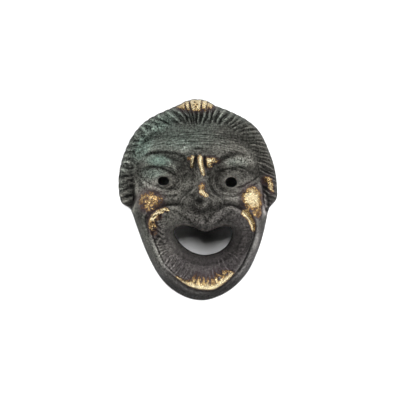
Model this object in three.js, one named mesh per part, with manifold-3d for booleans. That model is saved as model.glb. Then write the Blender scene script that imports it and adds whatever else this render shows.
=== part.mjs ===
// A comic theatre mask, cast in bronze as one hollow shell with an open back.
// Its mouth is open and its pupils are pierced, and nothing on it moves.
// Millimetres. It lies on its flat rim at Z = 0, face up along +Z, crown towards +Y.
import * as THREE from 'three';
import Module from 'manifold-3d';
import { mergeVertices } from 'three/addons/utils/BufferGeometryUtils.js';

// Driving dimensions
const HEIGHT = 110; // crown to the tip of the beard
const WALL = 3.2; // thickness of the casting

// The shapes below are drawn on a mask of this height, and the whole is brought to HEIGHT at the end
const DRAWN_HEIGHT = 110;

// How finely the solids are faceted
const FACE_CELLS = 60;
const HOLLOW_CELLS = 26;
const STEPS_PER_POINT = 6;
const PUPIL_SEGMENTS = 10;

// The grid is even out to this share of its radius, and crowds together over the steep edge beyond it
const EVEN_GRID = 0.78;
const EVEN_RADIUS = 0.82;

// Outlines, drawn as [x, y] points and smoothed
const OUTLINE = [
  [-0.5, 55.0], [4.9, 54.1], [9.4, 51.6], [17.5, 48.4], [27.2, 43.4], [34.0, 36.9], [38.9, 26.8],
  [42.1, 17.0], [43.4, 7.0], [43.1, 0.6], [39.2, -4.6], [37.8, -9.6], [36.1, -17.6], [32.6, -28.6],
  [27.2, -39.6], [19.2, -48.2], [10.4, -53.2], [2.2, -55.0], [-6.7, -53.2], [-15.8, -47.5],
  [-22.4, -39.5], [-28.4, -27.6], [-33.2, -14.8], [-35.7, -7.6], [-37.6, -4.4], [-41.7, -1.5],
  [-43.3, 6.0], [-42.8, 16.0], [-39.6, 27.0], [-34.2, 37.1], [-25.8, 44.8], [-10.8, 51.7], [-6.0, 54.1],
];
// The edge of the face against the hair. It leaves the mask below the two side locks.
const HAIRLINE = [
  [0, 40.3], [12, 40.6], [18.5, 38.2], [25.5, 32.4], [30.5, 24.5], [33.8, 14], [35, 4], [36.6, -5.5],
  [42, -18], [30, -62], [-30, -62], [-42, -18], [-35.9, -5.5], [-34.4, 4], [-34.2, 14], [-33.2, 26],
  [-30, 33.6], [-22.5, 39], [-11, 40.5],
];
// The trumpet-shaped beard and moustache round the mouth
const BEARD = [
  [-8.6, -3.2], [-18.3, -3.6], [-22.9, -5.7], [-26.3, -9.8], [-27.3, -14.5], [-25.9, -19.3],
  [-20.0, -31.4], [-16.4, -36.8], [-5.6, -46.4], [4.5, -48.9], [12.0, -47.4], [24.0, -37.4],
  [30.6, -23.0], [30.9, -17.2], [29.0, -11.6], [25.2, -6.8], [19.5, -3.6], [14.5, -3.4], [2.0, -6.6],
];
const MOUTH = [
  [4.4, -17.4], [12.2, -14.9], [16.2, -14.4], [18.6, -16.2], [18.2, -20.4], [15.6, -25.0],
  [10.6, -28.5], [4.0, -29.9], [-2.6, -28.5], [-8.0, -25.0], [-11.8, -20.4], [-12.8, -16.6],
  [-10.6, -14.6], [-6.6, -14.2], [-2.6, -15.0],
];
// Each pupil is pierced right through: its middle, the side of the face it is on, and its two radii
const EYES = [
  { x: -18.5, y: 10.1, side: -1, radii: [3.05, 2.45] },
  { x: 18.1, y: 9.4, side: 1, radii: [3.15, 2.8] },
];

// A value between 0 and 1
function share(value) {
  return Math.min(Math.max(value, 0), 1);
}

// A soft step from 0 at one value to 1 at another, in either direction
function ease(from, to, value) {
  const t = share((value - from) / (to - from));
  return t * t * (3 - 2 * t);
}

// The higher of two surfaces, blended where they cross
function blend(a, b, softness) {
  const t = share(0.5 + (0.5 * (a - b)) / softness);
  return b + (a - b) * t + softness * t * (1 - t);
}

// A bell-shaped swell that fades with distance
function swell(distance, spread) {
  return Math.exp(-((distance / spread) ** 2));
}

// The rounded shoulder of a wall: 0 at its foot and 1 at a given width
function shoulder(distance, width) {
  return Math.sqrt(1 - (1 - share(distance / width)) ** 2);
}

// A smooth line through drawn points
function drawn(points, closed = false) {
  const places = points.map(([x, y]) => new THREE.Vector3(x, y, 0));
  const curve = new THREE.CatmullRomCurve3(places, closed, 'catmullrom', 0.5);
  return curve.getPoints(STEPS_PER_POINT * (closed ? points.length : points.length - 1));
}

// A smooth profile through its knots, level beyond both ends
function profile(knots) {
  const line = drawn(knots);
  return (at) => {
    const next = line.findIndex((point) => point.x > at);
    if (next === 0) return line[0].y;
    if (next === -1) return line[line.length - 1].y;
    const [from, to] = [line[next - 1], line[next]];
    return from.y + ((to.y - from.y) * (at - from.x)) / (to.x - from.x);
  };
}

// The distance from a place to a line, and how far along the line the nearest point is, from 0 to 1
function reach(line, x, y) {
  let nearest = Infinity;
  let along = 0;
  let run = 0;
  for (let i = 1; i < line.length; i += 1) {
    const [a, b] = [line[i - 1], line[i]];
    const [dx, dy] = [b.x - a.x, b.y - a.y];
    const length = Math.hypot(dx, dy);
    const t = share(((x - a.x) * dx + (y - a.y) * dy) / (length * length));
    const distance = Math.hypot(x - a.x - t * dx, y - a.y - t * dy);
    if (distance < nearest) {
      nearest = distance;
      along = run + t * length;
    }
    run += length;
  }
  return { distance: nearest, along: along / run };
}

// The distance to a closed line, positive inside it
function depthIn(line, x, y) {
  let inside = false;
  for (let i = 1; i < line.length; i += 1) {
    const [a, b] = [line[i - 1], line[i]];
    const crosses = a.y > y !== b.y > y && x < ((b.x - a.x) * (y - a.y)) / (b.y - a.y) + a.x;
    if (crosses) inside = !inside;
  }
  const { distance } = reach(line, x, y);
  return inside ? distance : -distance;
}

// A ridge along a line, or a furrow where its height is negative, that dies out at both ends
function ridge(points, width, height, taper = 0.25, sharpness = 2) {
  const line = drawn(points);
  return (x, y) => {
    const { distance, along } = reach(line, x, y);
    const across = share(1 - (distance / width) ** 2) ** sharpness;
    return height * across * ease(0, taper, along) * ease(0, taper, 1 - along);
  };
}

// An oval mound, or a hollow where its height is negative, turned by some degrees
function mound(centre, radii, height, turn = 0, sharpness = 2) {
  const angle = THREE.MathUtils.degToRad(turn);
  return (x, y) => {
    const [dx, dy] = [x - centre[0], y - centre[1]];
    const u = (dx * Math.cos(angle) + dy * Math.sin(angle)) / radii[0];
    const v = (dy * Math.cos(angle) - dx * Math.sin(angle)) / radii[1];
    return height * share(1 - u * u - v * v) ** sharpness;
  };
}

function total(forms, x, y) {
  return forms.reduce((sum, form) => sum + form(x, y), 0);
}

const outline = drawn(OUTLINE, true);
const hairline = drawn(HAIRLINE, true);
const beard = drawn(BEARD, true);
const mouth = drawn(MOUTH, true);

// The blank that the face is worked on: its height down the middle, its half width, and how far it
// falls towards its sides. The face leans a little, so its middle line slants.
const middleHeight = profile([
  [-55, 12.2], [-48, 15.8], [-40, 18], [-30, 19.8], [-20, 21], [-10, 21.7], [4, 21.5], [16, 21.6],
  [26, 21], [34, 19.8], [42, 18], [55, 12.4],
]);
const halfWidth = profile([
  [-55, 6], [-50, 14.5], [-44, 21.5], [-37, 26.5], [-30, 29.8], [-21, 33], [-12, 35.2], [0, 35.5],
  [14, 34.5], [26, 32], [34, 28], [42, 24], [55, 20],
]);
const sideFall = profile([[-55, 2], [-30, 3.2], [-12, 4.6], [0, 7], [14, 9.5], [26, 9], [40, 6]]);

function blank(x, y) {
  const fromMiddle = Math.abs(x - (1.4 - 0.045 * y));
  return middleHeight(y) - sideFall(y) * (fromMiddle / halfWidth(y)) ** 2.6;
}

// Temples, brow ridges, eye sockets, the folds over the eyes and the eyeballs
const upperFace = [
  mound([-31, 17], [10, 14], -1),
  mound([32, 17], [10, 14], -1),
  ridge([[-34, 17], [-30.8, 24], [-24, 28.2], [-16, 29], [-8, 27.2], [-3.4, 23]], 5.4, 2, 0.2, 1.2),
  ridge([[35, 15], [32, 22.4], [26, 27.2], [18, 28.4], [11, 26.6], [6, 22.4]], 5.4, 2, 0.2, 1.2),
  mound([-17, 13.5], [20, 13.5], -3.6, -6, 1.7),
  mound([18.5, 13.2], [20, 13.5], -3.6, 6, 1.7),
  mound([-5.6, 15], [6.5, 8], -2.8, 30, 1.5),
  mound([-9.4, 19.4], [5.6, 4.4], -0.9, -20),
  mound([9.4, 14.4], [6, 8], -2.6, -30, 1.5),
  ridge([[-31.4, 19.6], [-28, 23.8], [-23.4, 25.6], [-16, 25.4], [-8, 23.4], [-3.9, 15.6]], 1.8, -1.1),
  ridge([[31, 19], [25, 23.6], [19.6, 25], [14, 23], [7.6, 16]], 2.2, -0.8, 0.35),
  ridge([[-32, 17.6], [-26.5, 20.8], [-20, 20.8], [-14, 18.2], [-9.5, 14.4]], 3.8, 2, 0.3, 1.2),
  ridge([[32, 15.5], [27.6, 20], [21.4, 20.9], [15.6, 18.8], [10.5, 15]], 3.8, 2, 0.3, 1.2),
  ...EYES.map(({ x, y, side }) => mound([x + side * 2.6, y + 0.8], [10.6, 7], 3.4, -side * 4, 1)),
];
const lids = [
  ridge([[-31.2, 14.6], [-28.6, 17], [-24.8, 17.9], [-19.6, 17.2], [-14.9, 15], [-10.4, 12.3]], 1.1, -0.9),
  ridge([[6.4, 9.4], [8.2, 13.2], [12.4, 16.2], [18.4, 16.9], [24, 15.8], [29, 13]], 1.1, -0.9, 0.35),
  ridge([[-33.2, 14.2], [-28.8, 9], [-23.7, 5.9], [-17.6, 4.1], [-9.7, 4.7], [-4, 7.4]], 1.8, 0.6),
  ridge([[5.4, 7.4], [9.6, 4.6], [17, 3.6], [22.6, 5.4], [27, 8.4]], 1.8, 0.6),
  ridge([[20.4, 5.8], [23.9, 7.1], [26.9, 9], [30.4, 11]], 1.2, -0.9, 0.35),
];
const cheeks = [
  mound([-25.6, 0.6], [13, 12], 4.6, 15),
  mound([30.2, 1.2], [12.5, 14], 4.6, -14),
  mound([-15.5, 0.8], [11, 6], 1.3),
  mound([18.5, 0.4], [11, 6], 1.3),
];

// The hair: locks that fan out from a point on the forehead. The profiles go by the angle from the
// crown, in degrees, to the right where it is positive.
const FAN_CENTRE = { x: 0, y: 14 };
const hairTop = profile([[0, 19.6], [20, 19.2], [50, 17.2], [80, 13.6], [100, 11.6], [125, 10.4]]);
const lockCount = profile([[-125, 0], [-100, 3.4], [-32, 11.2], [24, 21], [60, 27.5], [125, 38]]);
const lockDepth = profile([[-110, 1.5], [-40, 1.7], [-20, 1], [20, 0.9], [45, 1.2], [110, 1.4]]);

// A height for each lock that looks chance but is always the same
function chance(number, kind) {
  const n = Math.sin(number * 127.1 + kind * 74.7) * 43758.5453;
  return n - Math.floor(n);
}

// A row of round locks side by side: where a place lies across them gives its height
function lobe(count) {
  const across = count - Math.floor(count);
  return Math.sqrt(share(1 - (2 * across - 1) ** 2)) - 0.75;
}

function hairLocks(place) {
  const { angle, inHair, depth } = place;
  const along = share(inHair / (Math.max(inHair, 0) + Math.max(depth, 0) + 1e-6));
  const start = lockCount(angle);
  const wave = 0.35 * Math.sin(along * 2.6 + 1.3 * Math.floor(start)) * ease(0, 0.4, along);
  const count = start + wave;
  const lock = Math.floor(count);
  const rise = 0.45 + 0.55 * ease(0, 0.35 + 0.25 * chance(lock, 2), along);
  const height = lockDepth(angle) * lobe(count) + 0.8 * (chance(lock, 1) - 0.5);
  return height * ease(-0.4, 1, inHair) * rise;
}

// The beard: a funnel from its outer edge down to the lips, parted into locks outside the lips
const BEARD_CENTRE = { x: 4, y: -19 };
const BEARD_LOCK = 8.5; // degrees
const LIP_HEIGHT = 17;
const EDGE_HEIGHT = 21;

function lipHeight(x, y) {
  const dip = 2.2 * swell(x - 4.4, 5) * ease(-22, -16, y);
  return LIP_HEIGHT + 3.4 * ease(-26, -13, y) + dip;
}

// 1 where the moustache runs into the base of the nose, and 0 away from it
function byNose(x, y) {
  return ease(15, 9, Math.abs(x - 2)) * ease(-14, -9, y);
}

function beardHeight(place) {
  const { x, y, inBeard, fromMouth } = place;
  const edge = EDGE_HEIGHT + 3.4 * swell(y + 9, 9) - 1.2 * ease(-40, -50, y);
  const lip = lipHeight(x, y);
  if (fromMouth <= 0) return lip;
  const outward = fromMouth / (fromMouth + Math.max(inBeard, 0) + 1e-6);
  const rounding = 0.9 * (1 - share(inBeard / 1.8)) ** 2 * (1 - byNose(x, y));
  return lip + (edge - lip) * Math.sin((outward * Math.PI) / 2) ** 0.8 - rounding;
}

function beardLocks(place) {
  const { x, y, inBeard, fromMouth } = place;
  const outward = Math.max(fromMouth, 0) / (Math.max(fromMouth, 0) + Math.max(inBeard, 0) + 1e-6);
  const angle = THREE.MathUtils.radToDeg(Math.atan2(x - BEARD_CENTRE.x, BEARD_CENTRE.y - y));
  const count = angle / BEARD_LOCK + 0.35 * Math.sin(outward * 4 + angle * 0.11);
  const lock = Math.floor(count);
  const start = outward + 0.14 * (chance(lock, 8) - 0.5);
  const present = ease(0, 0.8, inBeard) * ease(0.34, 0.6, start) * ease(-5, -12, y);
  return (0.7 * lobe(count) + 0.4 * (chance(lock, 9) - 0.5)) * present;
}

// The folds of the upper lip, which meet at its dip
const upperLip = [
  ridge([[-8.2, -5.6], [-3, -8.8], [1.2, -12], [4.2, -16.6]], 3.2, 1),
  ridge([[14.6, -5.4], [10.8, -8.8], [7.6, -12], [5, -16.6]], 3.2, 1),
  ridge([[-15, -5.2], [-9, -8.2], [-3.6, -12.6], [-0.4, -16.4]], 1.4, -0.9, 0.2),
  ridge([[21, -5.4], [15.5, -8.4], [11, -12.4], [8.2, -15.6]], 1.4, -0.7, 0.2),
];

// The nose: a ridge that widens down to the wings, with a round tip between them
const NOSE_X = 1.9;
const noseWidth = profile([
  [-10, 4.6], [-7.5, 7], [-5, 9.8], [-2, 11.6], [0.5, 10.6], [3, 8], [6, 6], [9, 5], [14, 4.6], [20, 4.6],
]);
const noseRise = profile([
  [-10.5, 0], [-8, 0.9], [-6, 2.6], [-4, 4.6], [-2, 6.2], [0, 7], [3, 6.6], [6, 5.6], [9, 4.2], [14, 2.8],
  [20, 1.6], [26, 0],
]);
const TIP = { x: 2, y: -0.6, height: 31.6, across: 4.9, down: 5, fall: 6 };
const wings = [
  mound([-6.2, -1.4], [4.6, 4.6], 1.8, 20, 1.4),
  mound([9.8, -0.6], [4.6, 4.6], 1.8, -20, 1.4),
  ridge([[-0.7, 7.7], [-2.6, 4.7], [-6.2, 2.3], [-8.8, -0.8], [-9.3, -3.4]], 1.1, 0.7, 0.2),
  ridge([[5.2, 8], [7.8, 3.2], [11.4, 0.8], [13.2, -2.2], [12.4, -4.4]], 1.1, 0.8, 0.2),
  ridge([[-3.4, 1.6], [-4.4, -1.4], [-2.2, -4.8]], 1.6, -0.7, 0.35),
  ridge([[6.4, 1.2], [7.2, -1.6], [5.6, -4.8]], 1.6, -0.6, 0.35),
];
// The three lumps of the frown and the furrows between them
const frown = [
  ridge([[-3, 24.5], [-3.2, 20.5], [-3.4, 16.6]], 1.5, 1.8, 0.3, 1.1),
  ridge([[1.4, 25.5], [1.4, 20.5], [2.2, 16], [3.4, 12.2]], 1.8, 1.8, 0.25, 1.1),
  ridge([[10.2, 21], [6.8, 20.6], [5.6, 16.8]], 2, 1.8, 0.3, 1.1),
  ridge([[-0.8, 25], [-1, 20], [-0.8, 15]], 1, -1.2, 0.3),
  ridge([[4.2, 25], [3.8, 20.5], [4.6, 15]], 1, -1.2, 0.3),
];

function nose(z, x, y) {
  const across = share(Math.abs(x - NOSE_X) / noseWidth(y));
  const tent = 0.45 * (1 - across) + 0.55 * (1 - across * across) ** 1.5;
  const tip = TIP.height - TIP.fall * (((x - TIP.x) / TIP.across) ** 2 + ((y - TIP.y) / TIP.down) ** 2);
  return blend(z + noseRise(y) * tent, tip, 1.3);
}

// The wall round the face, which stands back behind the hair, and the roll of the jaw by the beard
const FACE_SHOULDER = 5;
const HAIR_SHOULDER = 8.5;

function faceWall(z, place) {
  const { y, depth, inHair } = place;
  const toHair = -inHair + 0.8 + 12 * ease(1, 15, y);
  const distance = -blend(-depth, -toHair, 1.5);
  return z * shoulder(Math.max(distance, 0), FACE_SHOULDER);
}

function jawRoll(place) {
  const { x, y, inBeard } = place;
  const roll = 1.9 * swell(inBeard + 2.9, 1.7) * ease(-46, -36, y);
  const edge = 0.9 * swell(inBeard + 0.8, 0.8) * ease(-50, -42, y) * ease(4, -4, x);
  return (roll + edge) * ease(-2, -9, y);
}

// Where a place lies on the mask
function locate(x, y) {
  return {
    x,
    y,
    depth: depthIn(outline, x, y),
    inHair: -depthIn(hairline, x, y),
    inBeard: depthIn(beard, x, y),
    fromMouth: -depthIn(mouth, x, y),
    angle: THREE.MathUtils.radToDeg(Math.atan2(x - FAN_CENTRE.x, y - FAN_CENTRE.y)),
  };
}

// The height of the mask's front. The plain form has no locks, lids or folds.
function front(x, y, carved = true) {
  const place = locate(x, y);
  const { depth, inHair, inBeard, angle } = place;
  if (depth <= 0) return 3 * depth;
  const detail = carved ? total(lids, x, y) : 0;
  const bare = blank(x, y) + total(upperFace, x, y) + detail + total(cheeks, x, y) + jawRoll(place);
  const face = faceWall(bare, place);
  const onForehead = ease(4, 18, y);
  const inLocks = ease(-0.6 - 3.4 * onForehead, 0.8 + 0.7 * onForehead, inHair);
  const hair = hairTop(Math.abs(angle)) * shoulder(depth, HAIR_SHOULDER);
  let z = face * (1 - inLocks) + hair * inLocks;
  const merging = byNose(x, y);
  const inFunnel = ease(-0.5 - 2 * merging, 0.7 + 2 * merging, inBeard);
  const groove = 0.4 * swell(inBeard + 0.4, 0.5) * (1 - inFunnel) * ease(0, 2, depth) * (1 - merging);
  z = z * (1 - inFunnel) + beardHeight(place) * inFunnel - groove;
  z += total(upperLip, x, y);
  z = nose(z, x, y) + total(frown, x, y);
  if (!carved) return z;
  return z + total(wings, x, y) + hairLocks(place) + beardLocks(place);
}

// The inside lies one wall's thickness under the plain form, measured square to its surface
const THICKNESS_PROBES = [0.5, 0.85, 1];
const THICKNESS_ROUNDS = 12;

function inside(x, y) {
  let z = front(x, y, false) - WALL;
  THICKNESS_PROBES.forEach((part) => {
    const away = WALL * part;
    const drop = Math.sqrt(WALL ** 2 - away ** 2);
    for (let i = 0; i < THICKNESS_ROUNDS; i += 1) {
      const angle = (i / THICKNESS_ROUNDS) * 2 * Math.PI;
      const beside = front(x + away * Math.cos(angle), y + away * Math.sin(angle), false);
      z = Math.min(z, beside - drop);
    }
  });
  return z;
}

// The distance from the middle of the mask to a closed line round it, in a given direction
function radiusAt(line, angle) {
  const [dx, dy] = [Math.cos(angle), Math.sin(angle)];
  for (let i = 1; i < line.length; i += 1) {
    const [a, b] = [line[i - 1], line[i]];
    const sideA = a.y * dx - a.x * dy;
    const sideB = b.y * dx - b.x * dy;
    const t = sideA / (sideA - sideB);
    const x = a.x + (b.x - a.x) * t;
    const y = a.y + (b.y - a.y) * t;
    if (sideA * sideB <= 0 && sideA !== sideB && x * dx + y * dy > 0) return Math.hypot(x, y);
  }
  throw new Error('the outline has a gap');
}

// A closed solid with a curved top over the mask's outline, less an inset. A square grid is pulled
// out to the outline, and the underside is a fan from one low point in the middle.
function pillow(cells, inset, height, edgeHeight, lowPoint) {
  const grid = new THREE.PlaneGeometry(2, 2, cells, cells);
  const places = grid.getAttribute('position');
  const rim = [];
  for (let i = 0; i < places.count; i += 1) {
    const [u, v] = [places.getX(i), places.getY(i)];
    const out = Math.max(Math.abs(u), Math.abs(v));
    const flat = Math.abs(u) >= Math.abs(v);
    const minor = out === 0 ? 0 : (Math.PI / 4) * (flat ? v / u : u / v);
    const angle = flat ? minor + (u < 0 ? Math.PI : 0) : Math.PI / 2 - minor + (v < 0 ? Math.PI : 0);
    const beyond = share((out - EVEN_GRID) / (1 - EVEN_GRID));
    const even = (EVEN_RADIUS * Math.min(out, EVEN_GRID)) / EVEN_GRID;
    const spread = even + (1 - EVEN_RADIUS) * Math.sin((beyond * Math.PI) / 2);
    const radius = (radiusAt(outline, angle) - inset) * spread;
    const [x, y] = [radius * Math.cos(angle), radius * Math.sin(angle)];
    const onRim = out > 1 - 0.5 / cells;
    if (onRim) rim.push({ i, angle: Math.atan2(y, x) });
    places.setXYZ(i, x, y, onRim ? edgeHeight : Math.max(height(x, y), edgeHeight));
  }
  rim.sort((a, b) => a.angle - b.angle);
  const underside = rim.flatMap(({ i }, at) => [rim[(at + 1) % rim.length].i, i, places.count]);
  const solid = new THREE.BufferGeometry();
  const coordinates = new Float32Array([...places.array, 0, 0, lowPoint]);
  solid.setAttribute('position', new THREE.BufferAttribute(coordinates, 3));
  solid.setIndex([...grid.getIndex().array, ...underside]);
  return solid;
}

// A straight cutter through the whole mask, from a flat shape
function cutter(shape, curveSegments) {
  const geometry = new THREE.ExtrudeGeometry(shape, { depth: 60, bevelEnabled: false, curveSegments });
  return geometry.translate(0, 0, -10);
}

function mouthCutter() {
  return cutter(new THREE.Shape(mouth.slice(1).map(({ x, y }) => new THREE.Vector2(x, y))), 1);
}

function pupilCutter({ x, y, radii }) {
  const shape = new THREE.Shape();
  shape.absellipse(x, y, ...radii, 0, 2 * Math.PI);
  return cutter(shape, PUPIL_SEGMENTS);
}

const wasm = await Module();
wasm.setup();

function toSolid(geometry) {
  geometry.deleteAttribute('normal');
  geometry.deleteAttribute('uv');
  const merged = mergeVertices(geometry);
  const vertProperties = merged.getAttribute('position').array;
  const triVerts = new Uint32Array(merged.getIndex().array);
  return new wasm.Manifold(new wasm.Mesh({ numProp: 3, vertProperties, triVerts }));
}

function toGeometry(solid) {
  const { vertProperties, triVerts } = solid.getMesh();
  const geometry = new THREE.BufferGeometry();
  geometry.setAttribute('position', new THREE.BufferAttribute(vertProperties, 3));
  geometry.setIndex(new THREE.BufferAttribute(triVerts, 1));
  return geometry;
}

// The mask: the front block, hollowed from behind, with the mouth and the pupils cut through
const EDGE_THICKNESS = 0.92 * WALL;
const CORE_EDGE = -2;
const CORE_LOW_POINT = -6;
const block = toSolid(pillow(FACE_CELLS, 0, front, 0, 0));
const core = toSolid(pillow(HOLLOW_CELLS, EDGE_THICKNESS, inside, CORE_EDGE, CORE_LOW_POINT));
const cutters = [mouthCutter(), ...EYES.map(pupilCutter)].map(toSolid);
const shell = cutters.reduce((solid, tool) => solid.subtract(tool), block.subtract(core));

const shape = toGeometry(shell);
shape.computeBoundingBox();
const middle = shape.boundingBox.getCenter(new THREE.Vector3());
const scale = HEIGHT / DRAWN_HEIGHT;
shape.translate(-middle.x, -middle.y, 0).scale(scale, scale, scale);
shape.computeVertexNormals();

const bronze = new THREE.MeshStandardMaterial({ color: 0x57554c, roughness: 0.5, metalness: 0.85 });
const mask = new THREE.Mesh(shape, bronze);
mask.name = 'mask';

const group = new THREE.Group();
group.add(mask);

export default group;
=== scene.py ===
import math
from types import SimpleNamespace

import bpy
import numpy as np
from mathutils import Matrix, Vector


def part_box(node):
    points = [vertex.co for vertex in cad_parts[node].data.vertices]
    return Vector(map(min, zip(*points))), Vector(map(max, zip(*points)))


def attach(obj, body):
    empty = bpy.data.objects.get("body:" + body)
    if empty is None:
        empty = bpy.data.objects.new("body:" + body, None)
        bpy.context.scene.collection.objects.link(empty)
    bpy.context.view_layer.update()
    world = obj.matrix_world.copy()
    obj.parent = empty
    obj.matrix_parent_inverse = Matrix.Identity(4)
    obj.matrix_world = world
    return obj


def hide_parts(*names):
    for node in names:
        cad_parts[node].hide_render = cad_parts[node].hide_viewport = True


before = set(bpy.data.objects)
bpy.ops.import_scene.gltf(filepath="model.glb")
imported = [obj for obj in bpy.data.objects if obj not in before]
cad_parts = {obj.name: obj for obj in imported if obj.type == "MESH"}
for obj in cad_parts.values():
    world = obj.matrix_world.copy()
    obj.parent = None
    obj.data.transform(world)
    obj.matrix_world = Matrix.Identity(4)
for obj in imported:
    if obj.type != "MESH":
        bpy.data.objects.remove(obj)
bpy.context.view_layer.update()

# The sculpting sizes below are in millimetres, and a piece is made in metres.
MM = 0.001
TINY = 1e-6

# The casting
WALL = 3.2
RIM_WALL = 0.92 * WALL
FACE_CELLS = 290
HOLLOW_CELLS = 90
HOLLOW_FOOT = -2
HOLLOW_SKIRT = 4
PUPIL_SIDES = 48
CUTTER_FOOT = -10
CUTTER_HEIGHT = 60
STEPS_PER_POINT = 8

# The first share of the grid is spread evenly over the second share of the outline's radius. The
# rest crowds over the steep edge beyond it.
EVEN_GRID = 0.80
EVEN_RADIUS = 0.84

OUTLINE = [
    (-0.5, 55.0), (4.9, 54.1), (9.4, 51.6), (17.5, 48.4), (27.2, 43.4), (34.0, 36.9), (38.9, 26.8),
    (42.1, 17.0), (43.4, 7.0), (43.1, 0.6), (39.2, -4.6), (37.8, -9.6), (36.1, -17.6),
    (32.6, -28.6), (27.2, -39.6), (19.2, -48.2), (10.4, -53.2), (2.2, -55.0), (-6.7, -53.2),
    (-15.8, -47.5), (-22.4, -39.5), (-28.4, -27.6), (-33.2, -14.8), (-35.7, -7.6), (-37.6, -4.4),
    (-41.7, -1.5), (-43.3, 6.0), (-42.8, 16.0), (-39.6, 27.0), (-34.2, 37.1), (-25.8, 44.8),
    (-10.8, 51.7), (-6.0, 54.1),
]
HAIRLINE = [
    (0, 40.3), (12, 40.6), (18.5, 38.2), (25.5, 32.4), (30.5, 24.5), (33.8, 14), (35, 4),
    (36.6, -5.5), (42, -18), (30, -62), (-30, -62), (-42, -18), (-35.9, -5.5), (-34.4, 4),
    (-34.2, 14), (-33.2, 26), (-30, 33.6), (-22.5, 39), (-11, 40.5),
]
BEARD = [
    (-8.6, -3.2), (-18.3, -3.6), (-22.9, -5.7), (-26.2, -9.8), (-27.0, -14.2), (-25.3, -19.7),
    (-20.8, -31.2), (-17.0, -37.2), (-5.8, -46.4), (4.5, -48.9), (11.6, -47.2), (22.2, -37.2),
    (28.9, -23.3), (30.1, -17.2), (28.8, -11.6), (25.2, -6.8), (19.5, -3.6), (14.5, -3.4),
    (2.0, -6.6),
]
MOUTH = [
    (4.4, -17.4), (12.2, -14.9), (16.2, -14.4), (18.6, -16.2), (18.2, -20.4), (15.6, -25.0),
    (10.6, -28.5), (4.0, -29.9), (-2.6, -28.5), (-8.0, -25.0), (-11.8, -20.4), (-12.8, -16.6),
    (-10.6, -14.6), (-6.6, -14.2), (-2.6, -15.0),
]
EYES = [(-18.5, 10.1, -1), (18.1, 9.4, 1)]
PUPIL_RADII = [(3.05, 2.45), (3.15, 2.8)]


# Helpers that work on whole arrays of places

def drawn(points, closed=False):
    """A smooth line through drawn points."""
    p = np.array(points, float)
    if closed:
        p = np.vstack([p[-1:], p, p[:2]])
    else:
        p = np.vstack([2 * p[0] - p[1], p, 2 * p[-1] - p[-2]])
    t = np.linspace(0, 1, STEPS_PER_POINT, endpoint=False)[:, None]
    stretches = []
    for a, b, c, d in zip(p[:-3], p[1:-2], p[2:-1], p[3:]):
        square = 2 * a - 5 * b + 4 * c - d
        cube = 3 * b - 3 * c + d - a
        stretches.append(0.5 * (2 * b + (c - a) * t + square * t**2 + cube * t**3))
    end = stretches[0][:1] if closed else p[-2:-1]
    return np.vstack(stretches + [end])


def share(value):
    return np.clip(value, 0, 1)


def ease(start, end, value):
    """A soft step from 0 at one value to 1 at another, in either direction."""
    t = share((value - start) / (end - start))
    return t * t * (3 - 2 * t)


def blend(a, b, softness):
    """The higher of two surfaces, blended where they cross."""
    t = share(0.5 + 0.5 * (a - b) / softness)
    return b + (a - b) * t + softness * t * (1 - t)


def swell(distance, spread):
    return np.exp(-((distance / spread) ** 2))


def shoulder(distance, width):
    """The rounded shoulder of a wall: 0 at its foot and 1 at a given width."""
    return np.sqrt(1 - (1 - share(distance / width)) ** 2)


def profile(knots):
    """A smooth profile through its knots, level beyond both ends."""
    line = drawn(knots)
    return lambda at: np.interp(at, line[:, 0], line[:, 1])


def reach(line, x, y):
    """The distance to a line, and how far along it the nearest point is, from 0 to 1."""
    nearest = np.full(x.shape, 1e9)
    along = np.zeros(x.shape)
    run = 0.0
    for (ax, ay), (bx, by) in zip(line[:-1], line[1:]):
        dx, dy = bx - ax, by - ay
        length = math.hypot(dx, dy)
        t = share(((x - ax) * dx + (y - ay) * dy) / length**2)
        square = (x - ax - t * dx) ** 2 + (y - ay - t * dy) ** 2
        closer = square < nearest
        nearest[closer] = square[closer]
        along[closer] = (run + t * length)[closer]
        run += length
    return np.sqrt(nearest), along / run


def depth_in(line, x, y):
    """The distance to a closed line, positive inside it."""
    inside = np.zeros(x.shape, bool)
    for (ax, ay), (bx, by) in zip(line[:-1], line[1:]):
        if ay != by:
            inside ^= ((ay > y) != (by > y)) & (x < (bx - ax) * (y - ay) / (by - ay) + ax)
    distance, _ = reach(line, x, y)
    return np.where(inside, distance, -distance)


def ridge(points, width, height, taper=0.25, sharpness=2.0):
    """A ridge along a line, or a furrow where its height is negative, that dies out at both ends."""
    line = drawn(points)
    low, high = line.min(0) - width, line.max(0) + width

    def form(x, y):
        z = np.zeros(x.shape)
        near = (x > low[0]) & (x < high[0]) & (y > low[1]) & (y < high[1])
        if near.any():
            distance, along = reach(line, x[near], y[near])
            across = share(1 - (distance / width) ** 2) ** sharpness
            z[near] = height * across * ease(0, taper, along) * ease(0, taper, 1 - along)
        return z

    return form


def in_oval(x, y, centre, radii, turn):
    """Places measured in an oval's own radii, from its middle and along its turned axes."""
    c, s = math.cos(math.radians(turn)), math.sin(math.radians(turn))
    dx, dy = x - centre[0], y - centre[1]
    return (dx * c + dy * s) / radii[0], (dy * c - dx * s) / radii[1]


def mound(centre, radii, height, turn=0.0, sharpness=2.0):
    """An oval mound, or a hollow where its height is negative, turned by some degrees."""

    def form(x, y):
        u, v = in_oval(x, y, centre, radii, turn)
        return height * share(1 - u * u - v * v) ** sharpness

    return form


def total(forms, x, y):
    return sum(form(x, y) for form in forms)


def chance(number, kind, row=0.0):
    """A number from 0 to 1 that looks chance but is always the same."""
    n = np.sin(number * 127.1 + kind * 74.7 + row * 311.7) * 43758.5453
    return n - np.floor(n)


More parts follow.
